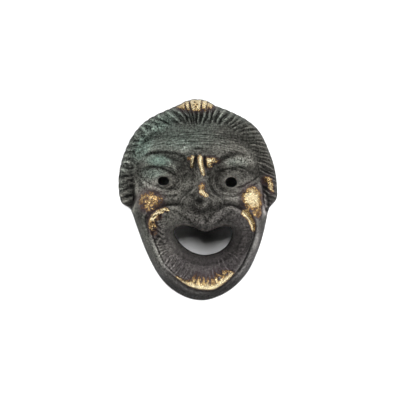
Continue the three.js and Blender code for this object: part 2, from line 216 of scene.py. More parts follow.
def mottle(x, y, size, kind):
    """Soft blotches of a given size, from -1 to 1."""
    u, v = x / size, y / size
    iu, iv = np.floor(u), np.floor(v)
    fu, fv = u - iu, v - iv
    fu, fv = fu * fu * (3 - 2 * fu), fv * fv * (3 - 2 * fv)
    low = chance(iu, kind, iv) * (1 - fu) + chance(iu + 1, kind, iv) * fu
    high = chance(iu, kind, iv + 1) * (1 - fu) + chance(iu + 1, kind, iv + 1) * fu
    return (low * (1 - fv) + high * fv) * 2 - 1


outline = drawn(OUTLINE, True)
hairline = drawn(HAIRLINE, True)
beard = drawn(BEARD, True)
mouth = drawn(MOUTH, True)

# The blank that the face is worked on
middle_height = profile([
    (-55, 12.2), (-48, 15.8), (-40, 18), (-30, 19.8), (-20, 21), (-10, 21.7), (4, 21.5), (16, 21.6),
    (26, 21), (34, 19.8), (42, 18), (55, 12.4),
])
half_width = profile([
    (-55, 6), (-50, 14.5), (-44, 21.5), (-37, 26.5), (-30, 29.8), (-21, 33), (-12, 35.2), (0, 35.5),
    (14, 34.5), (26, 32), (34, 28), (42, 24), (55, 20),
])
side_fall = profile([(-55, 2), (-30, 3.2), (-12, 4.6), (0, 7), (14, 9.5), (26, 9), (40, 6)])


MIDDLE_X = 1.4
MIDDLE_LEAN = 0.045
SIDE_ROUNDING = 2.6


def blank(x, y):
    """A plain shield that falls away to both sides of a middle line, which leans a little."""
    from_middle = np.abs(x - (MIDDLE_X - MIDDLE_LEAN * y))
    return middle_height(y) - side_fall(y) * (from_middle / half_width(y)) ** SIDE_ROUNDING


upper_face = [
    mound((-31, 17), (10, 14), -1),
    mound((32, 17), (10, 14), -1),
    ridge([(-34, 17), (-30.8, 24), (-24, 28.2), (-16, 29), (-8, 27.2), (-3.4, 23)], 5.4, 2.0, 0.2, 1.2),
    ridge([(35, 15), (32, 22.4), (26, 27.2), (18, 28.4), (11, 26.6), (6, 22.4)], 5.4, 2.0, 0.2, 1.2),
    mound((-17, 13.5), (20, 13.5), -3.6, -6, 1.7),
    mound((18.5, 13.2), (20, 13.5), -3.6, 6, 1.7),
    mound((-5.6, 15), (6.5, 8), -2.8, 30, 1.5),
    ridge([(-18.6, 22.6), (-15, 20.4), (-12, 15.8), (-10.2, 12.8)], 1.8, 0.6, 0.3),
    mound((-9.4, 19.4), (5.6, 4.4), -0.6, -20),
    ridge([(-9.7, 12.8), (-7.4, 14.6), (-4.6, 15.8)], 1.1, 0.5, 0.3),
    mound((9.4, 14.4), (6, 8), -1.2, -30, 1.5),
    ridge([(-31.4, 19.6), (-28, 23.8), (-23.4, 25.6), (-16, 25.4), (-8, 23.4), (-3.9, 15.6)], 1.4, -1.0),
    ridge([(31, 19), (25, 23.6), (19.6, 25), (14, 23), (7.6, 16)], 2.2, -0.8, 0.35),
    ridge([(-32, 17.6), (-26.5, 20.8), (-20, 20.8), (-14, 18.2), (-9.5, 14.4)], 3.8, 2, 0.3, 1.2),
    ridge([(32, 15.5), (27.6, 20), (21.4, 20.9), (15.6, 18.8), (10.5, 15)], 3.8, 2, 0.3, 1.2),
] + [mound((x + side * 2.6, y + 0.8), (10.6, 7), 3.4, -side * 4, 1) for x, y, side in EYES]

lids = [
    ridge(
        [(-31.2, 14.6), (-28.6, 17), (-24.8, 17.9), (-19.6, 17.2), (-14.9, 15), (-10.4, 12.3)],
        0.8, -0.7, 0.12,
    ),
    ridge([(8.0, 12.6), (12.4, 15.9), (18.4, 16.7), (24, 15.4), (29.2, 12.2)], 0.8, -0.55, 0.4),
    ridge([(-24.6, 10), (-22.8, 12.8), (-19.2, 14), (-15.4, 13), (-13.2, 10)], 1.2, 0.3),
    ridge([(19.4, 17.3), (24, 16.3), (28.6, 13.4)], 0.9, 0.5, 0.3),
    ridge([(-33.2, 14.2), (-28.8, 9), (-23.7, 5.9), (-17.6, 4.1), (-9.7, 4.7), (-4, 7.4)], 1.8, 0.6),
    ridge([(-31.4, 12.4), (-27.6, 9.6), (-22.4, 7.2), (-16.8, 5.8), (-11, 6.0)], 0.7, -0.45, 0.25),
    ridge([(7.4, 6.4), (11.6, 4.2), (17, 3.6), (22.6, 5.4), (27, 8.4)], 1.8, 0.4),
    ridge([(-23.4, 8.6), (-19.6, 6.7), (-15, 7.6)], 0.9, -0.4),
    ridge([(20.4, 5.8), (23.9, 7.1), (26.9, 9), (30.4, 11)], 1.0, -0.9, 0.35),
]
cheeks = [
    mound((-25.6, 0.6), (13, 12), 4.6, 15),
    mound((30.2, 1.2), (12.5, 14), 4.6, -14),
    mound((-15.5, 0.8), (11, 6), 1.3),
    mound((18.5, 0.4), (11, 6), 1.3),
]
cheek_fold = ridge([(34.9, 4.6), (35.6, 1.4), (36.2, -2.2), (36.7, -6.5)], 2.3, 2.4, 0.25)

# The hair, by the angle from the crown in degrees, to the right where it is positive
FAN_CENTRE = (0, 14)


def fan_angle(x, y):
    """How far round the fan of locks a place lies."""
    return np.degrees(np.arctan2(x - FAN_CENTRE[0], y - FAN_CENTRE[1]))


hair_top = profile([(0, 19.6), (20, 19.2), (50, 17.2), (80, 13.6), (100, 11.6), (125, 10.4)])
lock_count = profile([(-125, 0), (-32, 15.7), (24, 25.5), (60, 32.6), (125, 52)])
lock_depth = profile([(-110, 0.75), (-40, 0.9), (-20, 1.6), (20, 1.7), (45, 1.0), (110, 0.8)])
strands_in_lock = profile([(-110, 2), (-40, 2), (-20, 1), (110, 1)])
hair_lean = profile([
    (-125, 0), (-60, 0), (-35, -5), (-13, -11), (3, 2), (28, 3), (38, 8), (60, 9), (85, 7), (120, 0),
])
lock_scallop = profile([(-110, 0.35), (-40, 0.5), (-20, 0.4), (20, 0.4), (60, 0.2), (110, 0.15)])


def lobe(count):
    """The round back of a lock, from 0 in the parting to 1."""
    across = count - np.floor(count)
    return np.sqrt(share(1 - (2 * across - 1) ** 2))


def lock_crest(count):
    """The narrow crest of a lock between wide hollows, from 0 to 1."""
    return (0.5 - 0.5 * np.cos(2 * np.pi * count)) ** 2


def strand(count, sharpness=1.0):
    """The round back of a strand, from 0 in the cut to 1."""
    return np.abs(np.cos(np.pi * count)) ** sharpness


def lock_place(angle, along):
    """How many locks lie before a place, counted round the fan. Each lock curves a little."""
    start = lock_count(angle + hair_lean(angle) * (1 - along))
    wave = 0.2 * np.sin(along * 2.6 + 1.3 * np.floor(start)) * ease(0, 0.4, along)
    return start + wave


def scallop(angle, along):
    """How far the edge of the hair draws in at a parting."""
    return lock_scallop(angle) * (1 - lobe(lock_place(angle, along)))


def hair_locks(place):
    angle, in_hair, along = place.angle, place.in_hair, place.along_hair
    count = lock_place(angle, along)
    lock = np.floor(count)
    rise = 0.45 + 0.55 * ease(0, 0.35 + 0.25 * chance(lock, 2), along)
    height = lock_depth(angle) * (lock_crest(count) - 0.35) + 0.8 * (chance(lock, 1) - 0.5)
    root = -0.5 * (1 - lock_crest(count)) * swell(in_hair - 1.3, 1.0) * ease(-15, -30, angle)
    return height * ease(-0.4, 1.0, in_hair) * rise + root


# The proud tuft at the crown: slits between its lumps, and a few pits
crown_slits = [
    ridge([(-6.3, 48.6), (-6.9, 51.5), (-7.7, 55)], 0.7, -0.9, 0.1),
    ridge([(-3.9, 48.2), (-4.3, 51.5), (-4.7, 55)], 0.75, -1.1, 0.1),
    ridge([(1.6, 48.4), (1.9, 51.5), (2.4, 55)], 0.7, -1.1, 0.1),
    ridge([(4.4, 48.6), (4.9, 51.5), (5.8, 54.6)], 0.65, -0.9, 0.1),
    mound((-1.8, 52.9), (0.8, 0.8), -0.7),
    mound((-0.4, 51.6), (0.7, 0.7), -0.6),
    mound((-2.6, 51.2), (0.7, 0.7), -0.6),
    mound((-1.2, 50.4), (0.6, 0.6), -0.5),
]


def hair_strands(place):
    angle, in_hair, along = place.angle, place.in_hair, place.along_hair
    count = lock_place(angle, along)
    across = count - np.floor(count)
    bend = 0.25 * mottle(place.x, place.y, 3.0, 5)
    strands = 0.42 * (strand(across * strands_in_lock(angle) + bend) - 0.6)
    rough = (0.12 - 0.08 * ease(15, 35, angle)) * mottle(place.x, place.y, 1.3, 6)
    return (strands + rough) * ease(-0.4, 1.0, in_hair)


# The beard: a funnel from its outer edge down to the lips
BEARD_CENTRE = (4, -19)
CURL_CENTRE = (-6, -19)
BEARD_LOCK = 8.5
LIP_HEIGHT = 17
EDGE_HEIGHT = 21


def lip_height(x, y):
    dip = 2.2 * swell(x - 4.4, 5) * ease(-22, -16, y)
    return LIP_HEIGHT + 3.4 * ease(-26, -13, y) + dip


def by_nose(x, y):
    """1 where the moustache runs into the base of the nose, and 0 away from it."""
    return ease(15, 9, np.abs(x - 2)) * ease(-14, -9, y)


def beard_height(place):
    x, y, in_beard = place.x, place.y, place.in_beard
    edge = EDGE_HEIGHT + 3.4 * swell(y + 9, 9) - 1.2 * ease(-40, -50, y)
    lip = lip_height(x, y)
    rounding = 0.9 * (1 - share(in_beard / 1.8)) ** 2 * (1 - by_nose(x, y))
    funnel = lip + (edge - lip) * np.sin(place.outward * np.pi / 2) ** 0.8 - rounding
    return np.where(place.from_mouth > 0, funnel, lip)


def beard_count(place):
    """How many locks of the beard lie before a place, counted round it. Each lock waves a little."""
    angle = place.beard_angle
    return angle / BEARD_LOCK + 0.35 * np.sin(place.outward * 4 + angle * 0.11)


def beard_locks(place):
    count = beard_count(place)
    lock = np.floor(count)
    start = place.outward + 0.14 * (chance(lock, 8) - 0.5)
    present = ease(0, 0.8, place.in_beard) * ease(0.34, 0.6, start) * ease(-5, -12, place.y)
    depth = 0.12 + 0.2 * ease(12, -8, place.x)
    return (depth * (lobe(count) - 0.75) + 0.3 * (chance(lock, 9) - 0.5)) * present


def beard_strands(place):
    x, y = place.x, place.y
    count = beard_count(place)
    strand_count = count * 3 + 0.12 * np.sin(place.outward * 9 + 2 * np.floor(count))
    length = chance(np.floor(strand_count), 10)
    present = ease(0, 0.5, place.in_beard) * ease(-6, -13, y)
    present = present * ease(0.30 + 0.22 * length, 0.46 + 0.22 * length, place.outward)
    depth = 0.1 + 0.3 * ease(4, -10, x)
    slits = 0.3 * (1 - lobe(2 * count)) * swell(place.in_beard - 2.8, 1.8)
    slits = slits * ease(0, -8, x) * ease(-14, -19, y)
    return depth * (strand(strand_count, 1.5) - 0.5) * present - slits


def curls(place):
    """Short strands that run in from the upper left edge of the beard."""
    x, y, in_beard = place.x, place.y, place.in_beard
    around = np.degrees(np.arctan2(y - CURL_CENTRE[1], CURL_CENTRE[0] - x))
    curl = strand(around / 13 + 0.3 * np.sin(in_beard * 1.3), 1.4)
    present = ease(0.6, 1.6, in_beard) * ease(7.5, 4.5, in_beard) * ease(-10, -20, x) * ease(-27, -20, y)
    return (curl - 0.6) * present


upper_lip = [
    ridge([(-8.2, -5.6), (-3, -8.8), (1.2, -12), (4.2, -16.6)], 3.2, 1),
    ridge([(14.6, -5.4), (10.8, -8.8), (7.6, -12), (5, -16.6)], 3.2, 1),
    ridge([(-15, -5.2), (-9, -8.2), (-3.6, -12.6), (-0.4, -16.4)], 1.4, -0.45, 0.2),
    ridge([(21, -5.4), (15.5, -8.4), (11, -12.4), (8.2, -15.6)], 1.4, -0.35, 0.2),
]

# The nose
NOSE_X = 1.9
nose_width = profile([
    (-10, 4.6), (-7.5, 7), (-5, 9.8), (-2, 11.6), (0.5, 10.6), (3, 8), (6, 6), (9, 5), (14, 4.6),
    (20, 4.6),
])
nose_rise = profile([
    (-10.5, 0), (-8, 0.9), (-6, 2.6), (-4, 4.6), (-2, 6.2), (0, 7.0), (3, 6.6), (6, 5.6), (9, 4.2),
    (14, 2.8), (20, 1.6), (26, 0),
])
TIP_PLACE = (2, -0.6)
TIP_RADII = (4.9, 5)
TIP_HEIGHT = 31.6
TIP_FALL = 6
TIP_BLEND = 2.0
wings = [
    mound((-6.2, -1.4), (4.8, 4.6), 1.2, 20, 1.4),
    mound((9.8, -0.6), (4.8, 4.6), 1.2, -20, 1.4),
    ridge([(-0.7, 7.7), (-2.6, 4.7), (-6.2, 2.3), (-8.8, -0.8), (-9.3, -3.4)], 0.9, 0.7, 0.2),
    ridge([(5.2, 8), (7.8, 3.2), (11.4, 0.8), (13.2, -2.2), (12.4, -4.4)], 0.9, 0.8, 0.2),
    ridge([(6.6, 8.6), (9.2, 4), (12.6, 2)], 0.7, -0.4, 0.3),
    ridge([(-3.4, 1.6), (-4.4, -1.4), (-2.2, -4.8)], 1.6, -0.35, 0.35),
    ridge([(6.4, 1.2), (7.2, -1.6), (5.6, -4.8)], 1.6, -0.3, 0.35),
]
frown = [
    ridge([(-3, 24.5), (-3.1, 20.5), (-3.3, 16.6)], 1.3, 1.5, 0.3, 1.1),
    ridge([(1.4, 25), (1.4, 20.5), (2.4, 16), (3.6, 12.2)], 1.8, 1.8, 0.25, 1.1),
    ridge([(10.4, 21.4), (6.6, 20.8), (5.9, 16.8)], 2.3, 1.8, 0.3, 1.1),
    ridge([(-0.8, 25), (-1, 20), (-0.8, 15)], 1.0, -1.2, 0.3),
    ridge([(4.2, 25), (3.8, 20.5), (4.6, 15)], 1.0, -1.2, 0.3),
]


def across_nose(x, y):
    """0 on the middle of the nose, and 1 at its sides."""
    return np.abs(x - NOSE_X) / nose_width(y)


def nose(z, x, y):
    """Raises the nose from the face, with its rounded tip."""
    across = share(across_nose(x, y))
    tent = 0.45 * (1 - across) + 0.55 * (1 - across**2) ** 1.5
    aside = ((x - TIP_PLACE[0]) / TIP_RADII[0]) ** 2 + ((y - TIP_PLACE[1]) / TIP_RADII[1]) ** 2
    return blend(z + nose_rise(y) * tent, TIP_HEIGHT - TIP_FALL * aside, TIP_BLEND)


# The finer tool work: forehead wrinkles, crow's feet, the ring of the iris and the lips' edge
WRINKLE_HEIGHTS = (36.8, 35.2, 33.4, 31.8, 30.2)
WRINKLE_REACH = 21
BROW_X = 1
BROW_DROOP = 0.006
EYE_SQUASH = 1.25


def wrinkle(row, height):
    """A furrow right across the forehead, which wavers and droops to both sides."""
    points = []
    for x in range(-WRINKLE_REACH, WRINKLE_REACH + 1, 6):
        waver = 0.5 * math.sin(x * 0.35 + 2 * row)
        points.append((BROW_X + x, height - BROW_DROOP * x * x + waver))
    return ridge(points, 0.9, -0.28, 0.3)


wrinkles = [wrinkle(row, height) for row, height in enumerate(WRINKLE_HEIGHTS)] + [
    ridge([(-2.8, 27.5), (3.4, 27.5)], 0.7, -0.6, 0.2),
    ridge([(-30, 26), (-22, 29.6), (-12, 29.8), (-4, 28)], 0.9, -0.4, 0.3),
    ridge([(32, 25.4), (24, 29.8), (14, 30.2), (6, 28.4)], 0.9, -0.4, 0.3),
    ridge([(-28, 28.6), (-20, 31.6), (-10, 31.2)], 0.8, -0.3, 0.3),
    ridge([(29, 28.6), (21, 31.8), (12, 31.6)], 0.8, -0.3, 0.3),
    ridge([(27.5, 9.2), (31, 11.4), (34, 13.8)], 0.8, -0.6, 0.3),
    ridge([(26.5, 6.6), (30.6, 8.2), (34, 10.6)], 0.8, -0.5, 0.3),
    ridge([(-27.6, 10.2), (-31, 12.4), (-33.6, 15)], 0.8, -0.4, 0.3),
    ridge([(-28, 4), (-21, 2.4), (-14, 2), (-8, 3.4)], 1.0, -0.45, 0.3),
    ridge([(10, 3.8), (17, 1.8), (24, 2.2)], 0.8, -0.35, 0.3),
]
ear_lump = mound((39.2, 9.4), (2.8, 5.2), 1.8, 8)
nose_tip_marks = [
    mound((1.4, -1.5), (3.2, 2.6), -1.3),
    mound((4.2, -2.5), (1.6, 1.4), 0.5),
    mound((-2.4, 0.2), (2.6, 3.4), -0.5),
]


def forehead_row(x, y):
    """The height of a place on the forehead, along rows that droop to both sides."""
    return y + BROW_DROOP * (x - BROW_X) ** 2


def from_eye(x, y, eye):
    """The distance to the middle of an eye, which is wider than it is tall."""
    return np.hypot(x - eye[0], (y - eye[1]) * EYE_SQUASH)


def iris(x, y):
    z = np.zeros(x.shape)
    for eye_x, eye_y, _ in EYES:
        from_pupil = np.hypot(x - eye_x, (y - eye_y) * 1.2)
        z -= 0.35 * swell(np.maximum(from_pupil - 2.6, 0), 1.0)
    return z


def brushed(x, y):
    """Fine tool lines: round the eyes, and along the forehead over the brows."""
    z = np.zeros(x.shape)
    for eye in EYES:
        out = from_eye(x, y, eye)
        turns = out / 1.2 + 0.6 * mottle(x, y, 3.2, 21)
        z += 0.04 * np.sin(2 * np.pi * turns) * ease(4, 6, out) * ease(15, 10, out)
    rows = forehead_row(x, y) / 1.5 + 0.8 * mottle(x * 0.25, y, 3.5, 22)
    return z + 0.13 * np.sin(2 * np.pi * rows) * ease(23, 27, y) * ease(40, 36, y)


def beard_rim(place):
    """The raised rim of the beard to the left, and the slit inside it."""
    left = ease(-14, -19, place.y) * ease(-46, -40, place.y) * ease(0, -8, place.x)
    rim = 0.5 * swell(place.in_beard + 0.1, 0.6)
    slit = 0.9 * swell(place.in_beard - 1.1, 0.5)
    return left * (rim - slit)


def lip_edge(place):
    return -0.9 * (1 - shoulder(place.from_mouth, 1.1)) * (place.from_mouth > -0.5)


def lower_lip(place):
    roll = 0.4 * swell(place.from_mouth - 3.2, 1.4)
    crease = 0.25 * swell(place.from_mouth - 5.5, 0.7)
    return (roll - crease) * ease(-14, -22, place.y)


def cast_grain(place):
    """The grain of the sand, which lies finer on the forehead and in the hair to the right."""
    x, y = place.x, place.y
    grain = 0.11 * mottle(x, y, 1.0, 11) + 0.09 * mottle(x, y, 0.65, 12) + 0.14 * mottle(x, y, 2.4, 13)
    in_hair = ease(-1, 1, place.in_hair)
    forehead = ease(24, 28, y) * (1 - in_hair)
    return grain * (1 - 0.5 * in_hair * ease(15, 35, place.angle) - 0.4 * forehead)


beard_relief = [lip_edge, lower_lip, beard_rim, beard_locks, beard_strands, curls]
hair_relief = [hair_locks, hair_strands, cast_grain]

# The wall round the face, and the roll of the jaw by the beard
FACE_SHOULDER = 5
HAIR_SHOULDER = 8.5


def face_wall(z, place):
    to_hair = -place.in_hair + 0.8 + 12 * ease(1, 15, place.y)
    distance = -blend(-place.depth, -to_hair, 1.5)
    return z * shoulder(np.maximum(distance, 0), FACE_SHOULDER)


def jaw_roll(place):
    x, y, in_beard = place.x, place.y, place.in_beard
    roll = 1.9 * swell(in_beard + 2.9, 1.7) * ease(-46, -36, y)
    edge = 0.9 * swell(in_beard + 0.5, 0.8) * ease(-50, -42, y) * ease(4, -4, x)
    return (roll + edge) * ease(-2, -9, y)


def locate(x, y):
    """Where each place lies on the mask: how deep in each part, and how far along or round it."""
    depth = depth_in(outline, x, y)
    in_hair = -depth_in(hairline, x, y)
    in_beard = depth_in(beard, x, y)
    from_mouth = -depth_in(mouth, x, y)
    outside_mouth = np.maximum(from_mouth, 0)
    return SimpleNamespace(
        x=x,
        y=y,
        depth=depth,
        in_hair=in_hair,
        in_beard=in_beard,
        from_mouth=from_mouth,
        outward=outside_mouth / (outside_mouth + np.maximum(in_beard, 0) + TINY),
        along_hair=share(in_hair / (np.maximum(in_hair, 0) + np.maximum(depth, 0) + TINY)),
        angle=fan_angle(x, y),
        beard_angle=np.degrees(np.arctan2(x - BEARD_CENTRE[0], BEARD_CENTRE[1] - y)),
    )


def front(x, y, carved=True):
    """The height of the mask's front. The plain form has no locks, lids or folds."""
    place = locate(x, y)
    depth, in_hair, in_beard = place.depth, place.in_hair, place.in_beard
    bare = blank(x, y) + total(upper_face, x, y) + total(cheeks, x, y) + jaw_roll(place)
    hair_depth = depth
    if carved:
        bare = bare + total(lids, x, y) + total(wrinkles, x, y) + iris(x, y) + brushed(x, y)
        hair_depth = depth - scallop(place.angle, place.along_hair)
    face = face_wall(bare, place)
    on_forehead = ease(4, 18, y)
    in_locks = ease(-0.6 - 3.4 * on_forehead, 0.8 + 0.7 * on_forehead, in_hair)
    hair = hair_top(np.abs(place.angle)) * shoulder(np.maximum(hair_depth, 0), HAIR_SHOULDER)
    z = face * (1 - in_locks) + hair * in_locks
    merging = by_nose(x, y)
    in_funnel = ease(-0.5 - 2 * merging, 0.7 + 2 * merging, in_beard)
    groove = 0.12 * swell(in_beard + 0.4, 0.5) * (1 - in_funnel) * ease(0, 2, depth) * (1 - merging)
    z = z * (1 - in_funnel) + beard_height(place) * in_funnel - groove
    z = z + total(upper_lip, x, y)
    z = nose(z, x, y) + total(frown, x, y)
    if carved:
        edge_fade = 0.4 * ease(0, 0.8, hair_depth) + 0.6 * ease(0.8, 3, hair_depth)
        z = z + total(wings + nose_tip_marks + crown_slits + [ear_lump, cheek_fold], x, y)
        z = z + sum(form(place) for form in beard_relief)
        z = z + sum(form(place) for form in hair_relief) * edge_fade
    return np.where(depth > 0, z, 3 * depth)


def inside(x, y):
    """The inside lies one wall's thickness under the plain form, square to its surface."""
    z = front(x, y, carved=False) - WALL
    for part in (0.5, 0.85, 1):
        away = WALL * part
        drop = math.sqrt(WALL**2 - away**2)
        for angle in np.linspace(0, 2 * math.pi, 12, endpoint=False):
            beside = front(x + away * math.cos(angle), y + away * math.sin(angle), carved=False)
            z = np.minimum(z, beside - drop)
    return z


# Making the mesh

def deselect():
    bpy.ops.object.select_all(action="DESELECT")


def vertex_places(mesh):
    places = np.empty(len(mesh.vertices) * 3)
    mesh.vertices.foreach_get("co", places)
    return places.reshape(-1, 3)


def move_vertices(mesh, places):
    mesh.vertices.foreach_set("co", np.ascontiguousarray(places, np.float64).ravel())
    mesh.update()


def outline_radius(angle, inset, scalloped):
    line = outline[:-1]
    around = np.arctan2(line[:, 1], line[:, 0])
    order = np.argsort(around)
    radius = np.interp(angle, around[order], np.hypot(line[:, 0], line[:, 1])[order], period=2 * math.pi)
    if not scalloped:
        return radius - inset
    x, y = radius * np.cos(angle), radius * np.sin(angle)
    on_hair = -depth_in(hairline, x, y) > 0
    return radius - inset - np.where(on_hair, scallop(fan_angle(x, y), 1.0), 0)


def spread_over_outline(u, v, cells, inset, scalloped):
    """Pulls a square grid from -1 to 1 out to the outline."""
    out = np.maximum(np.abs(u), np.abs(v))
    flat = np.abs(u) >= np.abs(v)
    major = np.where(flat, u, v)
    minor = np.where(flat, v, u) / np.where(major == 0, 1, major) * math.pi / 4
    from_side = minor + np.where(u < 0, math.pi, 0)
    from_top = math.pi / 2 - minor + np.where(v < 0, math.pi, 0)
    angle = np.where(flat, from_side, from_top)
    beyond = share((out - EVEN_GRID) / (1 - EVEN_GRID))
    even = EVEN_RADIUS * np.minimum(out, EVEN_GRID) / EVEN_GRID
    spread = even + (1 - EVEN_RADIUS) * np.sin(beyond * math.pi / 2)
    radius = outline_radius(angle, inset, scalloped) * spread
    return radius * np.cos(angle), radius * np.sin(angle), out > 1 - 0.5 / cells


def finish_faces_outwards():
    bpy.ops.mesh.select_all(action="SELECT")
    bpy.ops.mesh.normals_make_consistent(inside=False)
    bpy.ops.object.mode_set(mode="OBJECT")


def sculpted_block(name, cells, surface, inset=0.0, edge_height=0.0, skirt=0.0, scalloped=False):
    """A closed block with a sculpted top over the mask's outline."""
    deselect()
    bpy.ops.mesh.primitive_grid_add(x_subdivisions=cells, y_subdivisions=cells, size=2)
    piece = bpy.context.object
    piece.name = name
    flat = vertex_places(piece.data)
    x, y, on_edge = spread_over_outline(flat[:, 0], flat[:, 1], cells, inset, scalloped)
    z = np.where(on_edge, edge_height, np.maximum(surface(x, y), edge_height))
    move_vertices(piece.data, np.stack((x, y, z), 1) * MM)
    bpy.ops.object.mode_set(mode="EDIT")
    bpy.ops.mesh.select_all(action="SELECT")
    bpy.ops.mesh.region_to_loop()
    if skirt:
        bpy.ops.mesh.extrude_edges_move(TRANSFORM_OT_translate={"value": (0, 0, -skirt * MM)})
    bpy.ops.mesh.edge_face_add()
    finish_faces_outwards()
    return piece


def mouth_cutter():
    line = mouth[:-1]
    deselect()
    bpy.ops.mesh.primitive_circle_add(vertices=len(line), radius=1, fill_type="NGON")
    piece = bpy.context.object
    move_vertices(piece.data, np.column_stack((line, np.full(len(line), CUTTER_FOOT))) * MM)
    bpy.ops.object.mode_set(mode="EDIT")
    bpy.ops.mesh.select_all(action="SELECT")
    bpy.ops.mesh.extrude_region_move(TRANSFORM_OT_translate={"value": (0, 0, CUTTER_HEIGHT * MM)})
    finish_faces_outwards()
    return piece


def pupil_cutter(x, y, radius_x, radius_y):
    deselect()
    bpy.ops.mesh.primitive_cylinder_add(
        vertices=PUPIL_SIDES,
        radius=1,
        depth=CUTTER_HEIGHT * MM,
        location=(x * MM, y * MM, (CUTTER_FOOT + CUTTER_HEIGHT / 2) * MM),
        scale=(radius_x * MM, radius_y * MM, 1),
    )
    bpy.ops.object.transform_apply(location=True, rotation=True, scale=True)
    return bpy.context.object


def cut(piece, tool):
    deselect()
    bpy.context.view_layer.objects.active = piece
    piece.select_set(True)
    modifier = piece.modifiers.new("cut", "BOOLEAN")
    modifier.operation = "DIFFERENCE"
    modifier.solver = "MANIFOLD"
    modifier.object = tool
    bpy.ops.object.modifier_apply(modifier=modifier.name)
    bpy.data.objects.remove(tool)


def clean_cut_edges(piece):
    """Dissolves points along the cuts where only two edges meet, which would split faces into slivers."""
    ends = np.empty(len(piece.data.edges) * 2, np.int32)
    piece.data.edges.foreach_get("vertices", ends)
    edges_at_point = np.bincount(ends, minlength=len(piece.data.vertices))
    bpy.ops.object.mode_set(mode="EDIT")
    bpy.ops.mesh.select_mode(type="VERT")
    bpy.ops.mesh.select_all(action="DESELECT")
    bpy.ops.object.mode_set(mode="OBJECT")
    piece.data.vertices.foreach_set("select", edges_at_point == 2)
    bpy.ops.object.mode_set(mode="EDIT")
    bpy.ops.mesh.dissolve_verts()
    bpy.ops.object.mode_set(mode="OBJECT")


def fit_to_frame(piece):
    """Brings the casting to the exact box of its CAD node."""
    low, high = (np.array(corner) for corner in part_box("mask"))
    places = vertex_places(piece.data)
    own_low, own_high = places.min(0), places.max(0)
    move_vertices(piece.data, low + (places - own_low) * (high - low) / (own_high - own_low))


def cast_mask():
    piece = sculpted_block("bronze_mask", FACE_CELLS, front, scalloped=True)
    core = sculpted_block("core", HOLLOW_CELLS, inside, RIM_WALL, HOLLOW_FOOT, HOLLOW_SKIRT)
    cut(piece, core)
    cut(piece, mouth_cutter())
    for (x, y, _), radii in zip(EYES, PUPIL_RADII):
        cut(piece, pupil_cutter(x, y, *radii))
    clean_cut_edges(piece)
    fit_to_frame(piece)
    return piece


# What the surface shows: where it stands proud, where it lies deep, and where hands have rubbed it

RASTER = 0.35
RASTER_HALF = (46, 58)
CREST_BLUR = 0.9
RISE_BLUR = 3.2


def blurred(field, spread):
    """A field that is sampled on the raster, softened over a given distance."""
    fy = np.fft.fftfreq(field.shape[0])[:, None]
    fx = np.fft.fftfreq(field.shape[1])[None]
    falloff = np.exp(-2 * (np.pi * spread / RASTER) ** 2 * (fx**2 + fy**2))
    return np.real(np.fft.ifft2(np.fft.fft2(field) * falloff))


def sampled(field, x, y):
    """The value of a field on the raster at any place."""
    u = np.clip((x + RASTER_HALF[0]) / RASTER, 0, field.shape[1] - 1.001)
    v = np.clip((y + RASTER_HALF[1]) / RASTER, 0, field.shape[0] - 1.001)
    iu, iv = u.astype(int), v.astype(int)
    fu, fv = u - iu, v - iv
    low = field[iv, iu] * (1 - fu) + field[iv, iu + 1] * fu
    high = field[iv + 1, iu] * (1 - fu) + field[iv + 1, iu + 1] * fu
    return low * (1 - fv) + high * fv


def oval(x, y, centre, radii, turn=0.0):
    """1 in the middle of an oval, 0 at its edge, and negative beyond it."""
    return 1 - np.hypot(*in_oval(x, y, centre, radii, turn))


def band(x, y, points, start_width, end_width):
    """1 on a line, 0 at the edge of a band along it that fades out at both ends."""
    distance, along = reach(drawn(points), x, y)
    width = start_width + (end_width - start_width) * along
    return (1 - distance / width) - 1.2 * (1 - ease(0, 0.12, along) * ease(0, 0.12, 1 - along))


def patch(x, y, centre, radii, turn=0.0):
    """A soft patch, 1 in its middle."""
    return ease(0, 0.8, oval(x, y, centre, radii, turn))


def patches(x, y, listed):
    """Soft patches added up. Each is given by its strength, centre, radii and turn."""
    return sum(strength * patch(x, y, *shape) for strength, *shape in listed)


# Where the bronze is rubbed bright, as ovals with their strength, centre, radii and turn
RUBBED_OVALS = [
    # the crown
    (3.8, (-1.2, 52.3), (10.2, 4.1)),
    # the left and the right lump of the frown
    (0.5, (-4.8, 22), (0.9, 1.3)),
    (1.6, (5.9, 21.3), (2.3, 2.1)),
    (0.8, (8.6, 21.4), (2.8, 1.7), -8),
    (1.5, (6.2, 18.6), (1.6, 2.0), -15),
    # the bridge of the nose
    (0.05, (2.1, 6.6), (1.6, 2.5), -12),
    # the cheeks
    (0.4, (-25.3, -0.8), (5.9, 5.3)),
    (1.95, (29.2, 0.5), (5.2, 6.5), 20),
    (1.1, (29.4, 4.8), (2.8, 2.6)),
    (0.3, (31.8, -5.9), (2.3, 3.6), 14),
    # the ear on the right
    (0.7, (37.4, 10.6), (2.7, 2.2), 20),
    (1.0, (39.7, 7.2), (1.5, 3.7), 14),
    # under the left end of the moustache
    (0.0, (-22.2, -8.8), (2.6, 2.2)),
    (0.35, (-24.4, -13.8), (2.2, 5.0), 10),
]
# The same as bands with their strength, points and widths
RUBBED_BANDS = [
    # the left and the middle lump of the frown
    (1.4, [(-2.8, 24.4), (-3.0, 20.5), (-3.2, 16.6)], 1.1, 0.9),
    (1.5, [(1.3, 24.8), (1.3, 21.5), (1.6, 18.5), (2.5, 15.5), (3.5, 12.2)], 1.6, 0.9),
    # the tip of the nose
    (1.9, [(0.4, 5.0), (2.7, 3.8), (5.6, 1.6)], 1.6, 1.0),
    # the two ends of the moustache
    (1.9, [(-25.4, -11.9), (-22.6, -7.9), (-18.2, -5.4), (-14.8, -5.9)], 1.9, 1.0),
    (2.2, [(23.4, -5.4), (26.9, -8.4), (29.3, -12.4), (30.5, -18.0)], 2.2, 1.1),
]
